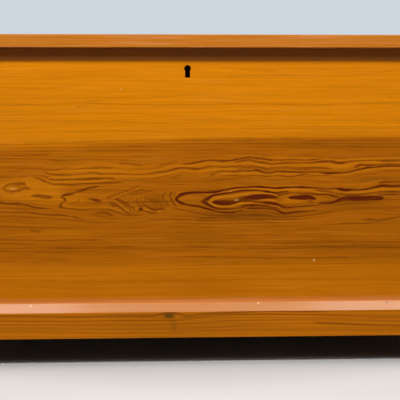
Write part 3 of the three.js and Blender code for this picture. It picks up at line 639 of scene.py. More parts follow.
    (0.35, (150, 256), (220, 257, 7), (300, 258, 7), (400, 256, 7), (500, 256, 6)),
    (0.35, (240, 242.4), (280, 243, 8), (350, 241.6, 9), (400, 242, 8), (500, 242, 8)),
    # The sapwood
    (0.22, (-120, 87, 6), (0, 88, 8), (38, 89, 8), (64, 88, 6), (90, 91)),
    (0.17, (70, 103.5), (82, 102, 5), (122, 97, 7), (143, 95, 7), (166, 96.4, 8), (191, 94.4, 7),
     (217, 98.2, 8), (255, 100.8, 6), (290, 101)),
    (0.34, (-120, 103, 6), (0, 103.3, 7), (38, 104.6, 7), (76, 102.6, 5), (120, 104, 5), (153, 105, 7),
     (204, 105, 8), (230, 104, 8), (270, 104, 9), (319, 104.6, 9), (357, 103.3, 8), (400, 103.3, 8),
     (500, 104, 8)),
    (0.20, (215, 67.4), (226, 68, 8), (246, 69.6, 8), (270, 70, 7), (290, 69.4)),
    (0.20, (215, 77.4), (230, 76.5, 7), (281, 75.3, 8), (332, 76.5, 8), (370, 74, 7), (400, 69, 7),
     (500, 62, 6)),
    (0.20, (-120, 121, 6), (0, 122, 8), (90, 121, 8), (180, 123, 7), (300, 120, 8), (400, 121, 8),
     (500, 121, 7)),
    (0.16, (-120, 132, 6), (0, 132.6, 8), (120, 131, 8), (240, 129, 8), (400, 128.4, 8), (500, 129, 7)),
    (0.20, (-120, 281, 7), (0, 280, 9), (120, 282, 8), (260, 279, 8), (400, 280, 8), (500, 280, 8)),
)

# Lines that run up the board: their points are y, x and half width
LINES_UP = (
    (0.95, (194.6, 65, 9), (196, 63.2, 12), (197.2, 61.9, 12), (198.8, 64.2, 13), (200.5, 65.2, 13),
     (202.2, 62.9, 13), (204, 61.2, 13), (206.2, 60, 11), (208, 62, 8), (209.4, 65)),
    (0.60, (190.8, 167.4), (192.4, 165.6, 9), (194.6, 163.4, 12), (198.8, 162.4, 10), (202, 164)),
    (0.70, (190.6, 173), (192.4, 171.6, 10), (195.4, 170, 12), (199.7, 171.6, 11), (203, 173.4, 11),
     (205.6, 176, 8), (207.4, 179)),
    (0.45, (191, 176), (193, 174.8, 8), (196, 174, 7), (199, 174.6)),
    (0.45, (199.6, 166), (201.4, 166.6, 10), (204.8, 167.6, 10), (207.6, 169)),
    (0.45, (197, 156), (200, 157.4, 9), (203, 156.4, 9), (206, 158.4)),
)

# Pale strips between the dark lines
LINES_PALE = (
    (0.60, (40, 172), (52, 171.8, 8), (70, 171.5, 10), (88, 170.6, 10), (110, 170.8, 8), (140, 171.4, 7),
     (160, 169, 6), (178, 165.6, 9), (190, 165.6, 10), (206, 163.8, 10), (222, 164.2, 11), (240, 163.4, 9),
     (250, 163.2, 8), (262, 165.2, 10), (276, 165.6, 10), (300, 165.2, 10), (322, 165, 12),
     (340, 166.2, 16), (350, 165.6, 12), (356, 163.2, 9), (376, 162.4, 8), (400, 162.2, 8), (500, 163, 8)),
    (0.65, (44, 174.5), (54, 177, 8), (66, 177.6, 9), (76, 176.8, 10), (100, 176, 10), (124, 176.4, 9),
     (150, 176, 7), (164, 174.2, 8), (184, 170.6, 9), (200, 171.2, 9), (212, 169.4, 9), (226, 169.4, 8),
     (244, 169)),
    (0.55, (44, 178.4), (54, 182, 7), (76, 182, 9), (104, 180.8, 9), (130, 180.6)),
    (0.55, (216, 174.2), (226, 173.6, 8), (244, 173.4, 8), (258, 173.2, 7), (268, 175, 8), (280, 173.8, 8),
     (296, 174, 8), (310, 173.6, 7), (330, 174.8, 7), (348, 174, 6), (362, 171, 7), (380, 168.6, 6),
     (400, 168, 6), (500, 168, 6)),
    (0.55, (262, 156.8), (270, 157.6, 8), (284, 157.8, 8), (310, 158, 8), (330, 159.4, 8), (340, 160.6, 8),
     (352, 158.8, 8), (376, 158.2, 8), (400, 158, 8), (500, 159, 8)),
    (0.70, (200, 195.6), (210, 193.9, 7), (222, 192.6, 8), (232, 190.8, 10), (246, 188.9, 9),
     (262, 189.2, 10), (276, 190.4, 10), (290, 189.6, 10), (310, 190, 9), (322, 192.4, 8), (336, 191.6, 7),
     (352, 192, 9), (370, 190.8, 9), (384, 188.8, 11), (400, 188.9, 12), (500, 190, 10)),
    (0.75, (209.2, 202, 10), (211, 200, 12), (215.5, 198, 10), (224, 197, 10), (234, 195.8, 12),
     (244, 194, 11), (256, 192.6, 9), (268, 193.8, 9), (274, 195, 8), (280, 196.6)),
    (0.75, (209.2, 202, 10), (211, 203.6, 11), (215.5, 205.6, 10), (223, 206.2, 10), (231, 205.8, 11),
     (240, 203.6, 10), (248, 203, 7), (258, 203.9, 6), (270, 204.8)),
    (0.60, (248, 200.2), (254, 199.8, 8), (262, 199.6, 10), (272, 200.4, 10), (280, 201.2)),
    (0.60, (384, 197), (388, 197.6, 10), (394, 197.3, 11), (400, 196.7, 10), (500, 198, 8)),
    (0.55, (318, 206), (328, 205.2, 7), (336, 203.8, 8), (344, 201.8, 8), (360, 201.1, 8), (376, 200.8, 7),
     (386, 202)),
    (0.45, (112, 200.6), (118, 203, 9), (124, 207.4, 8), (128.6, 211, 8), (131, 214)),
    (0.50, (134, 205), (138, 208.6, 8), (146, 209, 8), (150, 210.8, 8), (158, 211.2, 7), (164, 211)),
    (0.45, (110, 199), (118, 196, 7), (128, 192, 7), (138, 188.4, 6), (146, 186)),
    (0.45, (60, 203), (64, 205.6, 9), (72, 206.8, 8), (84, 207.4, 7), (100, 206.8, 7), (112, 208, 7),
     (122, 211.6, 6), (130, 215.6)),
    (0.35, (-120, 268, 8), (0, 267.6, 9), (200, 267, 10), (400, 266, 9), (500, 266, 9)),
    (0.30, (-120, 66, 9), (0, 65, 10), (160, 66, 8), (250, 65.4, 12), (300, 66)),
    (0.30, (-120, 138, 9), (0, 138, 10), (200, 134.6, 10), (400, 133.2, 10), (500, 133, 9)),
    (0.40, (80, 102.6), (88, 101.6, 9), (98, 101, 9), (108, 99.6)),
    (0.35, (-120, 136, 6), (0, 135.4, 7), (90, 134.4, 9), (150, 133.6)),
)

# Lighter and darker patches: how strong, the middle, the half sizes, and how soft the rim is
PATCHES_PALE = (
    (0.30, (192, 199.4), (17, 4.6), 0.4),
    (0.44, (306, 200), (30, 5.4), 0.4),
    (0.85, (28, 189), (46, 15), 0.5),
    (0.55, (62, 200), (40, 9), 0.7),
    (0.40, (345, 165.5), (16, 3.5), 0.8),
    (0.62, (105, 171), (76, 12), 0.8),
    (0.22, (92, 157), (64, 9), 0.9),
    (0.40, (60, 233), (70, 9), 1.0),
    (0.30, (370, 233), (60, 10), 1.0),
)
PATCHES_DARK = (
    (0.23, (230, 200), (66, 16), 0.7),
    (0.17, (345, 199), (62, 15), 0.8),
    (0.14, (255, 181), (110, 6.0), 0.9),
    (0.36, (245, 215), (88, 8), 0.9),
    (0.16, (330, 146), (140, 7), 0.9),
    (0.20, (345, 246), (110, 7), 0.9),
    (0.27, (156, 201), (21, 13), 1.0),
    (0.22, (368, 179), (50, 6), 0.9),
    (0.20, (350, 204), (62, 8), 0.9),
    (0.16, (200, 236), (70, 18), 1.0),
    (0.10, (205, 283), (90, 20), 1.0),
)
BLOBS_DARK = (
    (0.95, (140.6, 209.6), (3.4, 2.8), 0.6),
    (0.60, (310.5, 201.2), (3.8, 1.7), 0.7),
    (0.45, (275, 91.2), (1.4, 0.8), 0.6),
    (0.50, (391.5, 97.4), (1.5, 0.9), 0.6),
    (0.45, (78, 106.6), (2.6, 0.9), 0.7),
    (0.40, (103, 138), (2.2, 0.8), 0.7),
    (0.40, (196, 88), (1.6, 0.8), 0.7),
    (0.45, (11.5, 193.6), (4.0, 1.3), 0.8),
)
SPOTS_LIGHT = (
    (0.75, (314, 260), (1.7, 1.7), 0.5),
    (0.55, (121, 88.8), (1.5, 1.0), 0.6),
    (0.60, (236.3, 200.0), (3.6, 1.3), 0.8),
    (0.40, (13, 188.8), (5.0, 1.6), 0.8),
    (0.35, (231, 191.2), (1.6, 1.0), 0.7),
)

# The columns where the lines end that run on past the photograph
FIGURE_ENDS = (-120, 500)

# How the fine grain bends with the figure: of three of its lines the mean height, how far from them the grain
# bends, and where they run
FLOW_TOP = (169, 16, (
    (-120, 170), (0, 169.6), (40, 170), (50, 172), (60, 173), (94, 171.6),
    (143, 172.4), (163, 170.6), (181, 167), (197, 167.4), (212, 165.4), (239, 165), (255, 164.4),
    (267, 167), (280, 166), (300, 166.6), (338, 168), (352, 168), (364, 165), (400, 164), (500, 164.6),
))
FLOW_MIDDLE = (190, 16, (
    (-120, 190), (0, 190), (100, 190.4), (150, 191), (180, 190.4), (206, 190.6),
    (228, 188.6), (243, 187), (262, 187), (276, 188.4), (290, 187.6), (320, 189.4), (348, 191),
    (366, 190), (380, 187.6), (400, 187.4), (500, 188.4),
))
FLOW_LOW = (212, 18, (
    (-120, 207), (0, 209), (28, 210.4), (50, 212.6), (80, 214.4), (120, 214),
    (160, 211.4), (190, 210.6), (215, 213.6), (240, 212.6), (262, 212.2), (284, 215), (310, 212.4),
    (345, 208.4), (370, 208), (400, 208.6), (500, 209),
))

# Where the front board's look changes, as rows and a column of the photograph, and how far from there or from
# the heartwood's rims the change starts and is full, in pixels
FOOT_ROW = 240
FOOT_ROW_FADE = (0.0, -10)
BOLD_ROW = 184
BOLD_ROW_FADE = (4, -2)
BOLD_COLUMN = 172
BOLD_COLUMN_FADE = (-4, 2)
SHADE_ROW = 61
SHADE_FADE = (-1, 2)
HEART_TOP_FADE = (4.4, -5.6)
HEART_FOOT_FADE = (-7.5, 6.5)

# The unit of the tables' half widths, the width of a line's tip in it, and how many pixels a blunt end takes
TENTH = 0.1 * PIXEL
NO_WIDTH = -10
BLUNT_END = 1.2

# The curled grain: its oval's middle and half sizes, the eye that its arcs run round, how far apart they are,
# and how much flatter than round
CURL_MIDDLE = (141, 203)
CURL_HALF = (36, 15)
CURL_EYE = (197, 199)
CURL_GAP = 4.2
CURL_FLAT = 2.4

KEYHOLE_REACH = 7 * MM
FRONT_SEED = 4.0
FRONT_GAP = 4.9 * MM
FRONT_DRIFT = 9 * MM

# How far the figure's lines shake, in short and in long waves, and how far the heartwood's rims fray
SHAKE = 1.7 * PIXEL
SWAY = 0.9 * PIXEL
FRAY = 6 * PIXEL


def closed(points):
    """A line's points, each with a half width, and a blunt end where it ends inside the board."""
    made = [(*point, NO_WIDTH)[:3] for point in points]
    for end, step in ((0, -BLUNT_END), (-1, BLUNT_END)):
        place, value, width = made[end]
        if width > 0 and FIGURE_ENDS[0] < place < FIGURE_ENDS[1]:
            made.insert(0 if end == 0 else len(made), (place + step, value, NO_WIDTH))
    return made


def line_cover(run, rise, lines, plane=on_plane, swapped=False, soft=0.9):
    """How dark the listed grain lines make each point, from 0 to 1. run is the coordinate along the lines,
    rise the one across them, and plane maps pixels to metres. Three lines share each pair of curve nodes."""
    tree = run.tree
    along = combine(tree, run, run, run)
    spot = combine(tree, rise, rise, rise)
    total = combine(tree, 0.0, 0.0, 0.0)
    ordered = sorted(lines, key=lambda line: (line[1][0], line[-1][0]))
    for first in range(0, len(ordered), 3):
        middle = tree.nodes.new("ShaderNodeVectorCurve")
        half = tree.nodes.new("ShaderNodeVectorCurve")
        feed(tree, middle.inputs["Vector"], along)
        feed(tree, half.inputs["Vector"], along)
        strength = [0.0, 0.0, 0.0]
        places = []
        widths = []
        for index, (dark, *points) in enumerate(ordered[first:first + 3]):
            strength[index] = dark
            places.append([])
            widths.append([])
            for a, b, width in closed(points):
                at, value = reversed(plane(b, a)) if swapped else plane(a, b)
                places[-1].append((at, value))
                widths[-1].append((at, width * TENTH))
        shape(middle.mapping, places)
        shape(half.mapping, widths)
        away = spot.vector("SUBTRACT", Field(tree, middle.outputs[0])).vector("ABSOLUTE")
        cover = Field(tree, half.outputs[0]).vector("SUBTRACT", away)
        cover = cover.vector("ADD", (soft * PIXEL * 0.6,) * 3).vector("MULTIPLY", (1 / (soft * PIXEL),) * 3)
        total = total.vector("MAXIMUM", cover.vector("MINIMUM", (1, 1, 1)).vector("MULTIPLY", strength))
    first, second, third = total.parts()
    return first.at_least(second).at_least(third)


def oval(x, z, middle, half, soft, plane):
    """1 in the middle of an oval given in pixels, 0 outside it, soft at its rim."""
    centre_x, centre_z = plane(*middle)
    across = (x - centre_x) / (half[0] * PIXEL)
    up = (z - centre_z) / (half[1] * PIXEL)
    return (across * across + up * up).math("SQRT").ramp(1.0, 1.0 - soft)


def patches(x, z, table, plane=on_plane):
    """How strong the listed patches are at each point."""
    total = constant(x.tree, 0.0)
    for strength, middle, half, soft in table:
        total = total.at_least(oval(x, z, middle, half, soft, plane) * strength)
    return total


def level_line(run, points):
    """A height that follows the given pixels along the board."""
    return run.curve([on_plane(*point) for point in points])


def bent_by(run, rise, middle, reach, points):
    """How far the grain is bent up or down near a line of the figure, to reach pixels from it."""
    level = row(middle)
    near = (rise - level).magnitude().ramp(reach, 0.25 * reach, PIXEL)
    return (level_line(run, points) - level) * near


def curls(x, z, seed):
    """Broken arcs of late wood where the grain curls to the left of the island."""
    eye_x, eye_z = on_plane(*CURL_EYE)
    across = (x - eye_x) / (CURL_GAP * PIXEL)
    up = (z - eye_z) / (CURL_GAP * PIXEL / CURL_FLAT)
    twist = noise_field(x, z, x * 0, 42.0, 75.0, seed + 51, 2.0) * 5.0
    arcs = ((across * across + up * up).math("SQRT") + twist).fraction().curve(RING_SHAPE)
    broken = noise_field(x, z, x * 0, 90.0, 130.0, seed + 53, 1.0).ramp(0.42, 0.62)
    return arcs * broken * oval(x, z, CURL_MIDDLE, CURL_HALF, 0.5, on_plane)


def keyhole_shaft(x, z, spare=0.0):
    """1 close round the keyhole's shaft, and fading out over a spare width more."""
    pin_low, pin_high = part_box("lock_key_pin")
    middle = (pin_low + pin_high) / 2
    near = (x - middle.x).magnitude().ramp(KEYHOLE_REACH + spare, KEYHOLE_REACH - MM)
    reach = 2 * KEYHOLE_REACH
    tall = (z - (middle.z - KEYHOLE_REACH)).magnitude().ramp(reach + MM + spare, reach)
    return near * tall


def front_wood():
    """The one wide front board: sapwood, a band of flamed heartwood, and sapwood again."""
    material, tree, shader = new_material("front_pine")
    x, y, z = place_of(tree)
    seed = FRONT_SEED

    # The grain, which bends with the figure, and coordinates that shake a little for the figure's own lines
    top = level_line(x, HEART_TOP)
    foot = level_line(x, HEART_FOOT)
    bend = bent_by(x, z, *FLOW_TOP) + bent_by(x, z, *FLOW_MIDDLE) + bent_by(x, z, *FLOW_LOW)
    straight = z - bend
    drift = (noise_field(x, straight, y, 1.6, 9.0, seed + 5) - 0.5) * FRONT_DRIFT
    spread = noise_field(x * 0, straight, y * 0, 1.0, 60.0, seed + 11) * 2.4
    pattern = ring_pattern((straight + drift) / FRONT_GAP + spread, seed)
    fibres = streaks(x, straight, y, seed)
    broad, thin, hair = fibres
    broken = noise_field(x, straight, y, 14.0, 170.0, seed + 37).ramp(0.35, 0.65)
    jitter = (noise_field(x, z, y, 48.0, 260.0, seed + 41) - 0.5) * SHAKE
    slow = (noise_field(x, z, y, 9.0, 30.0, seed + 43) - 0.5) * SWAY
    shaky = z + jitter + slow
    run = x + slow

    # Sapwood and heartwood, with their patches, fibres and fine rings
    streaky = shaky + thin * FRAY
    heart = (streaky - top).ramp(*HEART_TOP_FADE, PIXEL) * (streaky - foot).ramp(*HEART_FOOT_FADE, PIXEL)
    low = (z - row(FOOT_ROW)).ramp(*FOOT_ROW_FADE, PIXEL)
    base = blend(heart, blend(low, SAPWOOD, FOOT_SAPWOOD), HEARTWOOD)
    pale = patches(x, shaky, PATCHES_PALE)
    dark = patches(x, shaky, PATCHES_DARK)
    base = blend(pale * (0.8 + thin), base, GLOW)
    base = shade(base, 1.0 - dark)
    ruddy = noise_field(x, straight, y, 9.0, 140.0, seed + 57).ramp(0.5, 0.85)
    base = blend(ruddy * 0.3, base, PALE_STREAK)
    base = shade(base, 1.0 + broad * 0.2 + thin * (0.48 + heart * 0.2) + hair * 0.3)
    late, own = pattern
    rings = late * (own * 0.9 + 0.15) * (0.12 + heart * 0.34 * (0.3 + broken)) * (1.0 - pale * 0.85)
    base = blend(rings, base, LATEWOOD)
    dashes = noise_field(x, straight, y, 17.0, 400.0, seed + 59, 1.0).ramp(0.58, 0.76)
    base = blend(dashes * (0.1 + heart * 0.26) * (1.0 - pale * 0.7), base, LATEWOOD)

    # The figure's pale strips and dark lines
    base = blend(line_cover(run, shaky, LINES_PALE, soft=1.4), base, GLOW)
    base = blend(curls(x, shaky, seed) * 0.5, base, LATEWOOD)
    lines = line_cover(run, shaky, LINES_ACROSS)
    lines = lines.at_least(line_cover(shaky, run, LINES_UP, swapped=True))
    lines = lines.at_least(patches(x, shaky, BLOBS_DARK))
    uneven = noise_field(x, z, y, 30.0, 90.0, seed + 47) - 0.5
    bold = (z - row(BOLD_ROW)).ramp(*BOLD_ROW_FADE, PIXEL)
    bold = bold * (x - column(BOLD_COLUMN)).ramp(*BOLD_COLUMN_FADE, PIXEL)
    lines = (lines.math("POWER", 1.3) * (0.84 + bold * 0.2 + thin * 1.5 + uneven * 1.6)).at_most(1.0)
    colour = blend(lines, base, LATEWOOD)

    # Light spots, the painted reflection at the foot, the painted reflection in the lid's shadow, and the
    # board's ends, rim (dust and painted shade), inside and painted shade in the keyhole
    colour = blend(patches(x, z, SPOTS_LIGHT), colour, SPOT)
    # Painted reflection of the chamfer's highlight along the foot of the front board
    foot_reflection = (z - PLINTH_HIGH.z).ramp(*FOOT_FADE, MM) * (0.42 + thin)
    colour = blend(foot_reflection, colour, FOOT_PAINTED_REFLECTION)
    # Painted reflection: the band in the lid's shadow is tinted paler and bluer
    painted_shadow_reflection = (z - row(SHADE_ROW)).ramp(*SHADE_FADE, PIXEL)
    colour = blend(painted_shadow_reflection * 0.25, colour, LID_SHADOW_REFLECTION)
    colour = shade(colour, 1.0 - end_grain(x, FRONT_LOW.x, FRONT_HIGH.x) * END_DARK)
    colour = blend(rim(z, FRONT_HIGH.z) * RIM_DUST_AND_SHADE_SHARE, colour, RIM_DUST_AND_SHADE)
    inner = inside_of(y, FRONT_HIGH.y, 1)
    colour = blend(inner, colour, board_colour(pattern, fibres, heart, BARE_TONES, 0.5))
    # Painted shade: the walls of the keyhole's shaft are painted near black
    behind = (y - FRONT_FACE).ramp(*SHAFT_FADE, MM)
    colour = blend(keyhole_shaft(x, z) * behind, colour, KEYHOLE_PAINTED_SHADE)
    height = thin + hair * 0.6
    rough = 0.46 + thin * 0.2 - lines * 0.08
    finish_wood(tree, shader, colour, height, rough, coat=0.04, relief=0.2)
    return material


METAL_HEIGHT = 0.5 * MM


def metal(name, base, stain, rough, metallic, grain, relief):
    """A metal with stains, a varying polish and a worked surface, with painted shade where it shows through
    the keyhole.
    """
    material, tree, shader = new_material(name)
    x, y, z = place_of(tree)
    cloud = noise_field(x, y, z, 55.0, 55.0, 2.0, 4.0, 0.6)
    speck = noise_field(x, y, z, grain, grain, 5.0, 3.0, 0.6)
    colour = blend(cloud.ramp(0.42, 0.66), base, stain)
    colour = shade(colour, 0.8 + speck * 0.4)
    # Painted shade: the metal seen through the keyhole is painted near black
    behind = (y - FRONT_HIGH.y).ramp(*BEHIND_FADE, MM)
    colour = blend(keyhole_shaft(x, z, 2 * MM) * behind, colour, KEYHOLE_PAINTED_SHADE)
    polish = rough + (cloud - 0.5) * 0.3 + (speck - 0.5) * 0.12
    wire(tree, shader, relief, METAL_HEIGHT, cloud * 0.6 + speck * 0.4, {
        "Base Color": colour, "Roughness": polish, "Metallic": metallic,
    })
    return material


# The metals: their tone and their stains' tone, their roughness, how metallic they are, and how fine and
# how deep their surface is worked
METALS = {
    "hinge_iron": (tone(74, 70, 67), tone(96, 66, 46), 0.5, 0.85, 200.0, 0.5),
    "screw_steel": (tone(150, 146, 140), tone(104, 88, 72), 0.38, 1.0, 400.0, 0.2),
    "lock_brass": (tone(172, 138, 76), tone(112, 84, 44), 0.52, 1.0, 300.0, 0.2),
}

# The plinth's marks, read off the photograph like the front board's
PLINTH_LINES = (
    (0.50, (-120, 316.6, 7), (0, 316.4, 9), (67, 316.8, 9), (110, 316.4, 8), (149, 316, 10),
     (158, 315.2, 11), (164, 313.4, 12), (172, 312.4, 12), (178, 313.4, 10), (187, 316, 9), (203, 313.8, 9),
     (227, 312.6, 9), (267, 311, 8), (320, 311.6, 6), (340, 311.4)),
    (0.35, (-120, 320.6, 7), (0, 321, 8), (67, 321.4, 8), (107, 321, 8), (150, 320.4, 9), (164, 320.2, 10),
     (172, 320.6, 11), (187, 319.2, 9), (213, 315.4, 8), (260, 314, 7), (330, 315.2, 7), (400, 316.6, 7),
     (500, 317, 7)),
    (0.50, (306, 323), (317, 323.2, 7), (347, 324, 8), (373, 325, 7), (400, 325.8, 7), (500, 326, 7)),
    (0.30, (-120, 325, 7), (0, 325, 7), (67, 325.4, 7), (120, 325, 7), (170, 324.6, 8), (210, 322, 7),
     (290, 319.4, 6), (400, 320.6, 6), (500, 321, 6)),
    (0.26, (-120, 328, 6), (0, 328.6, 7), (90, 328.8, 7), (180, 328.6, 7), (260, 325, 6), (330, 327.4)),
    (0.24, (-120, 332, 6), (0, 331.6, 7), (140, 332.8, 7), (250, 329.6, 7), (400, 329.4, 7), (500, 329, 6)),
)
PLINTH_KNOT = ((0.85, (169.2, 315.8), (8.4, 4.2), 0.75), (0.35, (174, 327), (5.0, 8.0), 1.0))
CHAMFER_BRUISES = ((0.45, (388, 303.2), (3.2, 1.8), 0.8), (0.35, (398, 310), (4.0, 1.6), 0.8))
# Painted highlights on the chamfer
CHAMFER_HIGHLIGHT_SPOTS = ((0.40, (259, 304.2), (2.0, 1.4), 0.8), (0.35, (30, 307), (2.0, 1.0), 0.8))
PLINTH_SWAY = 1.6 * PIXEL

# Where the plinth's front fades from its darker middle, and where it grows paler to the left
PLINTH_MIDDLE = (0.06, 0.16)
PLINTH_LEFT = (-0.05, -0.3)


def on_plinth(pixel_x, pixel_y):
    """The x and z at which a pixel of the photograph meets the plane of the plinth's face."""
    return on_plane(pixel_x, pixel_y, PLINTH_LOW.y)


def plinth_marks(x, y, z, fibres, colour):
    """The wavy lines and the pin knot on the front of the plinth, which is darkest in the middle."""
    slow = (noise_field(x, z, x * 0, 12.0, 40.0, 207.0) - 0.5) * PLINTH_SWAY
    run = x + slow
    shaky = z + slow + fibres[1] * PIXEL
    side = x.magnitude().ramp(*PLINTH_MIDDLE)
    colour = shade(colour, 0.93 + side * 0.08 + x.ramp(*PLINTH_LEFT) * 0.05)
    lines = line_cover(run, shaky, PLINTH_LINES, on_plinth) * (1.0 + fibres[1] * 1.4)
    colour = blend(lines.at_most(1.0), colour, LATEWOOD)
    return blend(patches(run, shaky, PLINTH_KNOT, on_plinth), colour, KNOT_WOOD)


def chamfer_marks(x, y, z, fibres, colour):
    """Two dark bruises and two painted highlight spots on the chamfer."""
    colour = blend(patches(x, z, CHAMFER_BRUISES, on_plinth), colour, KNOT_WOOD)
    return blend(patches(x, z, CHAMFER_HIGHLIGHT_SPOTS, on_plinth), colour, CHAMFER_PAINTED_HIGHLIGHT)


def lid_marks(x, y, z, fibres, colour):
    """The long fine streaks on the lid's front edge, and painted shade on its top arris, which holds back the
    light that falls on it.
    """
    edge = (y - LID_LOW.y).ramp(*LID_FADE, MM)
    colour = blend(edge * 0.9, colour, LID_EDGE)
    streak = noise_field(x, z, x * 0, 7.0, 520.0, 301.0, 3.0, 0.6)
    colour = blend(streak.ramp(0.5, 0.68) * edge * 0.5, colour, LID_EDGE_PALE)
    colour = blend(streak.ramp(0.47, 0.3) * edge * 0.5, colour, LID_EDGE_DARK)
    # Painted shade: the top arris is darkened against the light that falls on it
    arris = (z - LID_HIGH.z).ramp(*LID_TOP_FADE, MM) * edge
    return shade(colour, 1.0 - arris * 0.46)


def notch_marks(x, y, z, fibres, colour):
    """The floors of the notches for the hinge straps, darkened like the rim: partly dust, partly painted
    shade.
    """
    within = (y - BACK_LOW.y).ramp(*NOTCH_FADE, MM) * (BACK_HIGH.y - y).ramp(*NOTCH_FADE, MM)
    return blend(rim(z, BACK_HIGH.z - STRAP_SINK) * within * RIM_DUST_AND_SHADE_SHARE, colour, RIM_DUST_AND_SHADE)


LID_FINISH = {"coat": 0.0, "level": 0.18, "contrast": 0.42, "tones": LID_TONES, "bare": -1}
SLOW_GROWN = {"gap": 5 * MM, "heart_radius": 0.01}
PLINTH_WOOD = {"wander": 2 * MM, **SLOW_GROWN}
CHAMFER_FINISH = {
    "tones": CHAMFER_TONES_WITH_PAINTED_SHEEN, "contrast": 0.2, "wear": 0.2,
    "coat": 1.0, "coat_rough": 0.16, "level": 0.4, **PLINTH_WOOD,
}

# Each board's own piece of a tree: how it lies, its seed, where the middle of the tree lies across it and
# how far outside it in depth, and what else is its own
BOARDS = {
    "left_end_board": ("y", 11.0, 0.30, -0.05, {"gap": 7 * MM, "bare": 1, "lean": 0.05}),
    "right_end_board": ("y", 23.0, 0.24, 0.04, {"gap": 6.5 * MM, "bare": -1, "lean": -0.06}),
    "back_board": ("x", 37.0, 0.33, 0.03, {
        "gap": 7.5 * MM, "bare": -1, "lean": 0.04, "marks": notch_marks,
    }),
    "lid_board_front": ("x_flat", 53.0, -0.12, -0.03, {
        "lean": 0.05, "wear": 0.12, "marks": lid_marks, **LID_FINISH,
    }),
    "lid_board_rear": ("x_flat", 61.0, 0.15, -0.05, {
        "gap": 6.5 * MM, "lean": -0.04, "wear": 0.3, **LID_FINISH,
    }),
    "plinth_front": ("x", 71.0, 0.02, -0.02, {
        "tones": PLINTH_TONES, "contrast": 0.3, "marks": plinth_marks, **PLINTH_WOOD,
    }),
    "plinth_left": ("y", 79.0, 0.01, -0.03, {"tones": PLINTH_TONES, **PLINTH_WOOD}),
    "plinth_right": ("y", 83.0, 0.03, 0.03, {"tones": PLINTH_TONES, **PLINTH_WOOD}),
}
CHAMFERS = {
    "plinth_front": ("x", 71.0, 0.02, -0.02, {"marks": chamfer_marks}),
    "plinth_left": ("y", 79.0, 0.01, -0.03, {}),
    "plinth_right": ("y", 83.0, 0.01, -0.03, {}),
}
BATTEN_HEART = -0.02

# The bottom boards, cut side by side from one tree. They are bare up to their rear ends.
BOTTOM_BOARDS = 5
BOTTOM_STEP = 0.012
BOTTOM_BACK = (1, BACK_HIGH.y - MM)


def board_woods():
    """A material for each CAD node that is a board."""
    woods = {"front_board": front_wood()}
    for piece, (*tree, own) in BOARDS.items():
        woods[piece] = pine(piece, *tree, **own)
    for side in ("left", "right"):
        piece = "rear_foot_" + side
        woods[piece] = pine(piece, "x", 91.0, 0.01, 0.03, tones=PLINTH_TONES, **SLOW_GROWN)
        piece = "lid_batten_" + side
        heart_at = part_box(piece)[0].x + BATTEN_HEART
        woods[piece] = pine(piece, "y_flat", 97.0, heart_at, 0.04, gap=5 * MM, tones=BARE_TONES)
    for number in range(1, BOTTOM_BOARDS + 1):
        piece = f"bottom_board_{number}"
        low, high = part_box(piece)
        heart_at = (low.x + high.x) / 2 + BOTTOM_STEP * (number - (BOTTOM_BOARDS + 1) / 2)
        seed = 101.0 + 7 * number
        woods[piece] = pine(piece, "y_flat", seed, heart_at, -0.03, bare=-1, bare_to=BOTTOM_BACK, lean=0.04)
    block = pine("corner_block_front_left", "y", 151.0, 0.0, -0.02, gap=4 * MM, tones=BARE_TONES,
                 name="block_pine")
    for end in ("front_left", "front_right", "rear_left", "rear_right"):
        woods["corner_block_" + end] = block
    return woods


def chamfer_woods():
    """A glossier, worn material for the chamfer of each plinth board, whose paler tones are partly painted
    sheen.
    """
    woods = {}
    for piece, (*tree, own) in CHAMFERS.items():
        name = piece.replace("plinth", "chamfer") + "_pine"
        woods[piece] = pine(piece, *tree, name=name, **own, **CHAMFER_FINISH)
    return woods


# Geometry

WELD = 1e-6
FLAT = math.radians(0.5)
SHARP = math.radians(28)
TOUCH = 0.8 * MM
SLICE = 28 * MM
WEAR_WAVES = 45
LEAST_WEAR = 0.3
ALONG_ARRIS = (0.15, 0.5, 0.85)
CHAMFER_SLOPES = (0.45, 0.9)

# How far the arrises are rounded and, on boards, how far they are worn
METAL_ARRIS = 0.35 * MM
INNER_ARRIS = (1.0 * MM, 0.0)
CARCASS_ARRIS = (0.9 * MM, 0.0)
LID_ARRIS = (0.8 * MM, 0.4 * MM)
PLINTH_ARRIS = (1.4 * MM, 0.0)
ARRISES = {
    "front_board": CARCASS_ARRIS, "back_board": CARCASS_ARRIS,
    "left_end_board": CARCASS_ARRIS, "right_end_board": CARCASS_ARRIS,
    "lid_board_front": LID_ARRIS, "lid_board_rear": LID_ARRIS,
    "plinth_front": (1.4 * MM, 0.35 * MM), "plinth_left": PLINTH_ARRIS, "plinth_right": PLINTH_ARRIS,
    "rear_foot_left": PLINTH_ARRIS, "rear_foot_right": PLINTH_ARRIS,
}
SLOTS = {part["node"]: part["material_slot"] for part in frame["record"]["subparts"]}


def solid_of(name):
    """A clean mesh of a CAD node: shared corners merged and flat faces whole."""
    mesh = bmesh.new()
    mesh.from_mesh(frame["nodes"][name].data)
    bmesh.ops.remove_doubles(mesh, verts=mesh.verts, dist=WELD)
    bmesh.ops.dissolve_limit(mesh, angle_limit=FLAT, verts=mesh.verts, edges=mesh.edges)
    return mesh


def neighbours_of(name):
    """A search tree of everything else on the same body."""
    body = frame["nodes"][name]["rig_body"]
    points = []
    faces = []
    for other, thing in frame["nodes"].items():
        if other == name or thing["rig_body"] != body:
            continue
        start = len(points)
        points.extend(vertex.co.copy() for vertex in thing.data.vertices)
        faces.extend([start + index for index in face.vertices] for face in thing.data.polygons)
    return BVHTree.FromPolygons(points, faces)


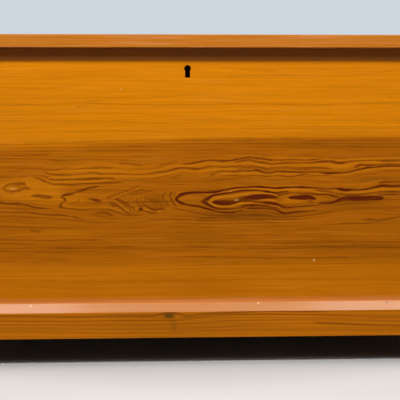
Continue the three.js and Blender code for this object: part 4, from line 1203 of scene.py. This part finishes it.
def open_arrises(mesh, tree):
    """The convex edges of a solid that touch no other piece along their length."""
    found = []
    for edge in mesh.edges:
        if len(edge.link_faces) != 2 or not edge.is_convex or edge.calc_face_angle() < SHARP:
            continue
        first, last = (vertex.co for vertex in edge.verts)
        samples = [first.lerp(last, share) for share in ALONG_ARRIS]
        if all(tree.find_nearest(point, TOUCH)[0] is None for point in samples):
            found.append(edge)
    return found


def cut_across(mesh, low, high):
    """Cuts a long board's faces across, so that its arrises can wear unevenly."""
    for cut in range(1, int((high.x - low.x) / SLICE)):
        place = Vector((low.x + cut * SLICE, 0, 0))
        parts = [*mesh.verts, *mesh.edges, *mesh.faces]
        bmesh.ops.bisect_plane(mesh, geom=parts, dist=WELD, plane_co=place, plane_no=(1, 0, 0))


def wear_down(mesh, rounded, worn, seed, low, high):
    """Wears the rounded arrises unevenly, within the board's box."""
    mesh.normal_update()
    for vertex in mesh.verts:
        if vertex.link_faces and all(face in rounded for face in vertex.link_faces):
            waver = noise.noise(vertex.co * WEAR_WAVES + Vector((seed, 0, 0)))
            vertex.co -= vertex.normal * worn * max(0.0, LEAST_WEAR + waver)
            for axis in range(3):
                vertex.co[axis] = min(max(vertex.co[axis], low[axis]), high[axis])


def new_object(name, mesh):
    """An object in the scene with the mesh that was built."""
    data = bpy.data.meshes.new(name)
    mesh.to_mesh(data)
    mesh.free()
    thing = bpy.data.objects.new(name, data)
    bpy.context.scene.collection.objects.link(thing)
    return thing


def dress(name, material, arris, worn=0.0, segments=3, sloped=None):
    """A piece that stands for a CAD node: the same solid with its open arrises rounded, and worn unevenly.
    Faces that slope up like a chamfer get the second material."""
    mesh = solid_of(name)
    low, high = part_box(name)
    if worn:
        cut_across(mesh, low, high)
    edges = open_arrises(mesh, neighbours_of(name))
    if edges:
        made = bmesh.ops.bevel(
            mesh, geom=edges, offset=arris, offset_type="OFFSET", segments=segments, profile=0.5,
            affect="EDGES", clamp_overlap=True,
        )
        if worn:
            wear_down(mesh, set(made["faces"]), worn, len(name), low, high)
    mesh.normal_update()
    if sloped:
        for face in mesh.faces:
            if CHAMFER_SLOPES[0] < face.normal.z < CHAMFER_SLOPES[1]:
                face.material_index = 1
    piece = new_object(name + "_finish", mesh)
    piece.data.shade_smooth()
    piece.data.set_sharp_from_angle(angle=SHARP)
    piece.data.materials.append(material)
    if sloped:
        piece.data.materials.append(sloped)
    weighted = piece.modifiers.new("flat_faces_stay_flat", "WEIGHTED_NORMAL")
    weighted.keep_sharp = True
    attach(piece, frame["nodes"][name]["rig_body"])
    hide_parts(name)


def dress_all():
    """Dresses every board and every metal piece that the frame shows."""
    chamfers = chamfer_woods()
    for name, material in board_woods().items():
        dress(name, material, *ARRISES.get(name, INNER_ARRIS), sloped=chamfers.get(name))
    metals = {slot: metal(slot, *looks) for slot, looks in METALS.items()}
    for name, thing in frame["nodes"].items():
        if SLOTS[name] in metals and not thing.hide_render:
            dress(name, metals[SLOTS[name]], METAL_ARRIS, segments=2)


# The stage, the lights and the camera

FILL = (0.037, 0.037, 0.038, 1.0)
FLOOR_BOUNCE = (0.09, 0.085, 0.08, 1.0)
FLOOR_FADE = (0.9, 2.6)
FLOOR_RADIUS = 40.0
FLOOR_SIDES = 96
RAYS = ("Camera", "Glossy", "Transmission")

# Small lamps in front, whose heights set the lid's double shadow: how far to the side and in front of the
# lid's lower edge they are, how steeply above it in degrees, and their watts
SHADOW_LAMPS = (
    ("key_left", -0.62, 1.05, 47.0, 20.2),
    ("key_right", 0.62, 1.05, 47.0, 17.7),
    ("second_lamp", 0.1, 1.9, 33.6, 6.5),
)
SHADOW_LAMP_SIZE = 0.26
SHADOW_LAMP_TARGET = (0, FRONT_FACE, 0.36)

# Soft panels overhead that the chamfer mirrors: their middle, their length and their watts
PANELS = (
    ("panel_left", -0.8, 1.1, 5.3),
    ("panel_right", 1.05, 1.1, 4.7),
    ("panel_middle", 0.125, 0.75, 0.7),
)
PANEL_Y = -0.45
PANEL_Z = 2.2
PANEL_DEPTH = 0.36

# Soft panels that light the ends and the back: their place, target, watts, width and height
SIDE_PANELS = (
    ("end_left", (-2.3, 0.3, 1.3), (0, 0.1, 0.3), 40.0, 1.0, 1.0),
    ("end_right", (2.3, 0.3, 1.3), (0, 0.1, 0.3), 40.0, 1.0, 1.0),
    ("back_panel", (0.6, 2.6, 1.3), (0, 0.2, 0.3), 52.0, 1.2, 1.0),
)
NEAR_CLIP = 0.05
FAR_CLIP = 100


def seen_rays(tree):
    """1 for a ray that shows the picture, straight or by a reflection, and 0 for one that lights."""
    path = tree.nodes.new("ShaderNodeLightPath")
    camera, mirrored, through = (Field(tree, path.outputs["Is " + kind + " Ray"]) for kind in RAYS)
    return camera.at_least(mirrored).at_least(through)


def add_stage():
    """A plain pale floor that fades into the backdrop."""
    mesh = bmesh.new()
    bmesh.ops.create_circle(mesh, cap_ends=True, segments=FLOOR_SIDES, radius=FLOOR_RADIUS)
    floor = new_object("floor", mesh)
    floor.location.z = CAD_BOX[0].z
    material, tree, shader = new_material("floor_paper")
    seen = seen_rays(tree)
    feed(tree, shader.inputs["Base Color"], blend(seen, FLOOR_BOUNCE, FLOOR))
    shader.inputs["Roughness"].default_value = 0.85
    shader.inputs["Specular IOR Level"].default_value = 0.1
    x, y, z = place_of(tree)
    far = (x * x + y * y).math("SQRT").ramp(*FLOOR_FADE)
    glow = node(tree, "Emission", {"Color": blend(seen, FILL, BACKDROP)})
    mixed = node(tree, "MixShader", (far, Field(tree, shader.outputs[0]), glow))
    feed(tree, tree.nodes["Material Output"].inputs["Surface"], mixed)
    floor.data.materials.append(material)


def add_world():
    """A pale backdrop that lights the scene only as a dim room would."""
    world = bpy.data.worlds.new("studio")
    bpy.context.scene.world = world
    world.use_nodes = True
    world.cycles.sampling_method = "NONE"
    tree = world.node_tree
    feed(tree, tree.nodes["Background"].inputs["Color"], blend(seen_rays(tree), FILL, BACKDROP))


def add_lamp(name, place, target, watts, width, depth=None):
    """A soft lamp that the camera doesn't see."""
    light = bpy.data.lights.new(name, "AREA")
    light.shape = "RECTANGLE" if depth else "DISK"
    light.size = width
    if depth:
        light.size_y = depth
    light.energy = watts
    lamp = bpy.data.objects.new(name, light)
    lamp.location = place
    lamp.rotation_mode = "QUATERNION"
    lamp.rotation_quaternion = (Vector(target) - Vector(place)).to_track_quat("-Z", "Y")
    lamp.visible_camera = False
    bpy.context.scene.collection.objects.link(lamp)
    return lamp


def add_lights():
    """The lamps in front, the panels overhead, and those at the ends and the back, which no face mirrors."""
    edge = Vector((0, LID_LOW.y, LID_LOW.z))
    for name, side, reach, rise, watts in SHADOW_LAMPS:
        place = edge + Vector((side, -reach, reach * math.tan(math.radians(rise))))
        add_lamp(name, place, SHADOW_LAMP_TARGET, watts, SHADOW_LAMP_SIZE)
    for name, x, length, watts in PANELS:
        add_lamp(name, (x, PANEL_Y, PANEL_Z), (x, PANEL_Y, 0), watts, length, PANEL_DEPTH)
    for panel in SIDE_PANELS:
        add_lamp(*panel).visible_glossy = False


def add_camera():
    """The photograph's camera."""
    data = bpy.data.cameras.new("camera")
    data.sensor_width = SENSOR_WIDTH_MM
    data.lens = SENSOR_WIDTH_MM * FOCAL_PIXELS / PHOTO_SIDE
    data.clip_start = NEAR_CLIP
    data.clip_end = FAR_CLIP
    camera = bpy.data.objects.new("camera", data)
    camera.location = CAMERA_PLACE
    camera.rotation_mode = "QUATERNION"
    camera.rotation_quaternion = FORWARD.to_track_quat("-Z", "Y")
    bpy.context.scene.collection.objects.link(camera)
    bpy.context.scene.camera = camera


dress_all()
add_stage()
add_world()
add_lights()
add_camera()
bpy.context.scene.view_settings.view_transform = "Standard"
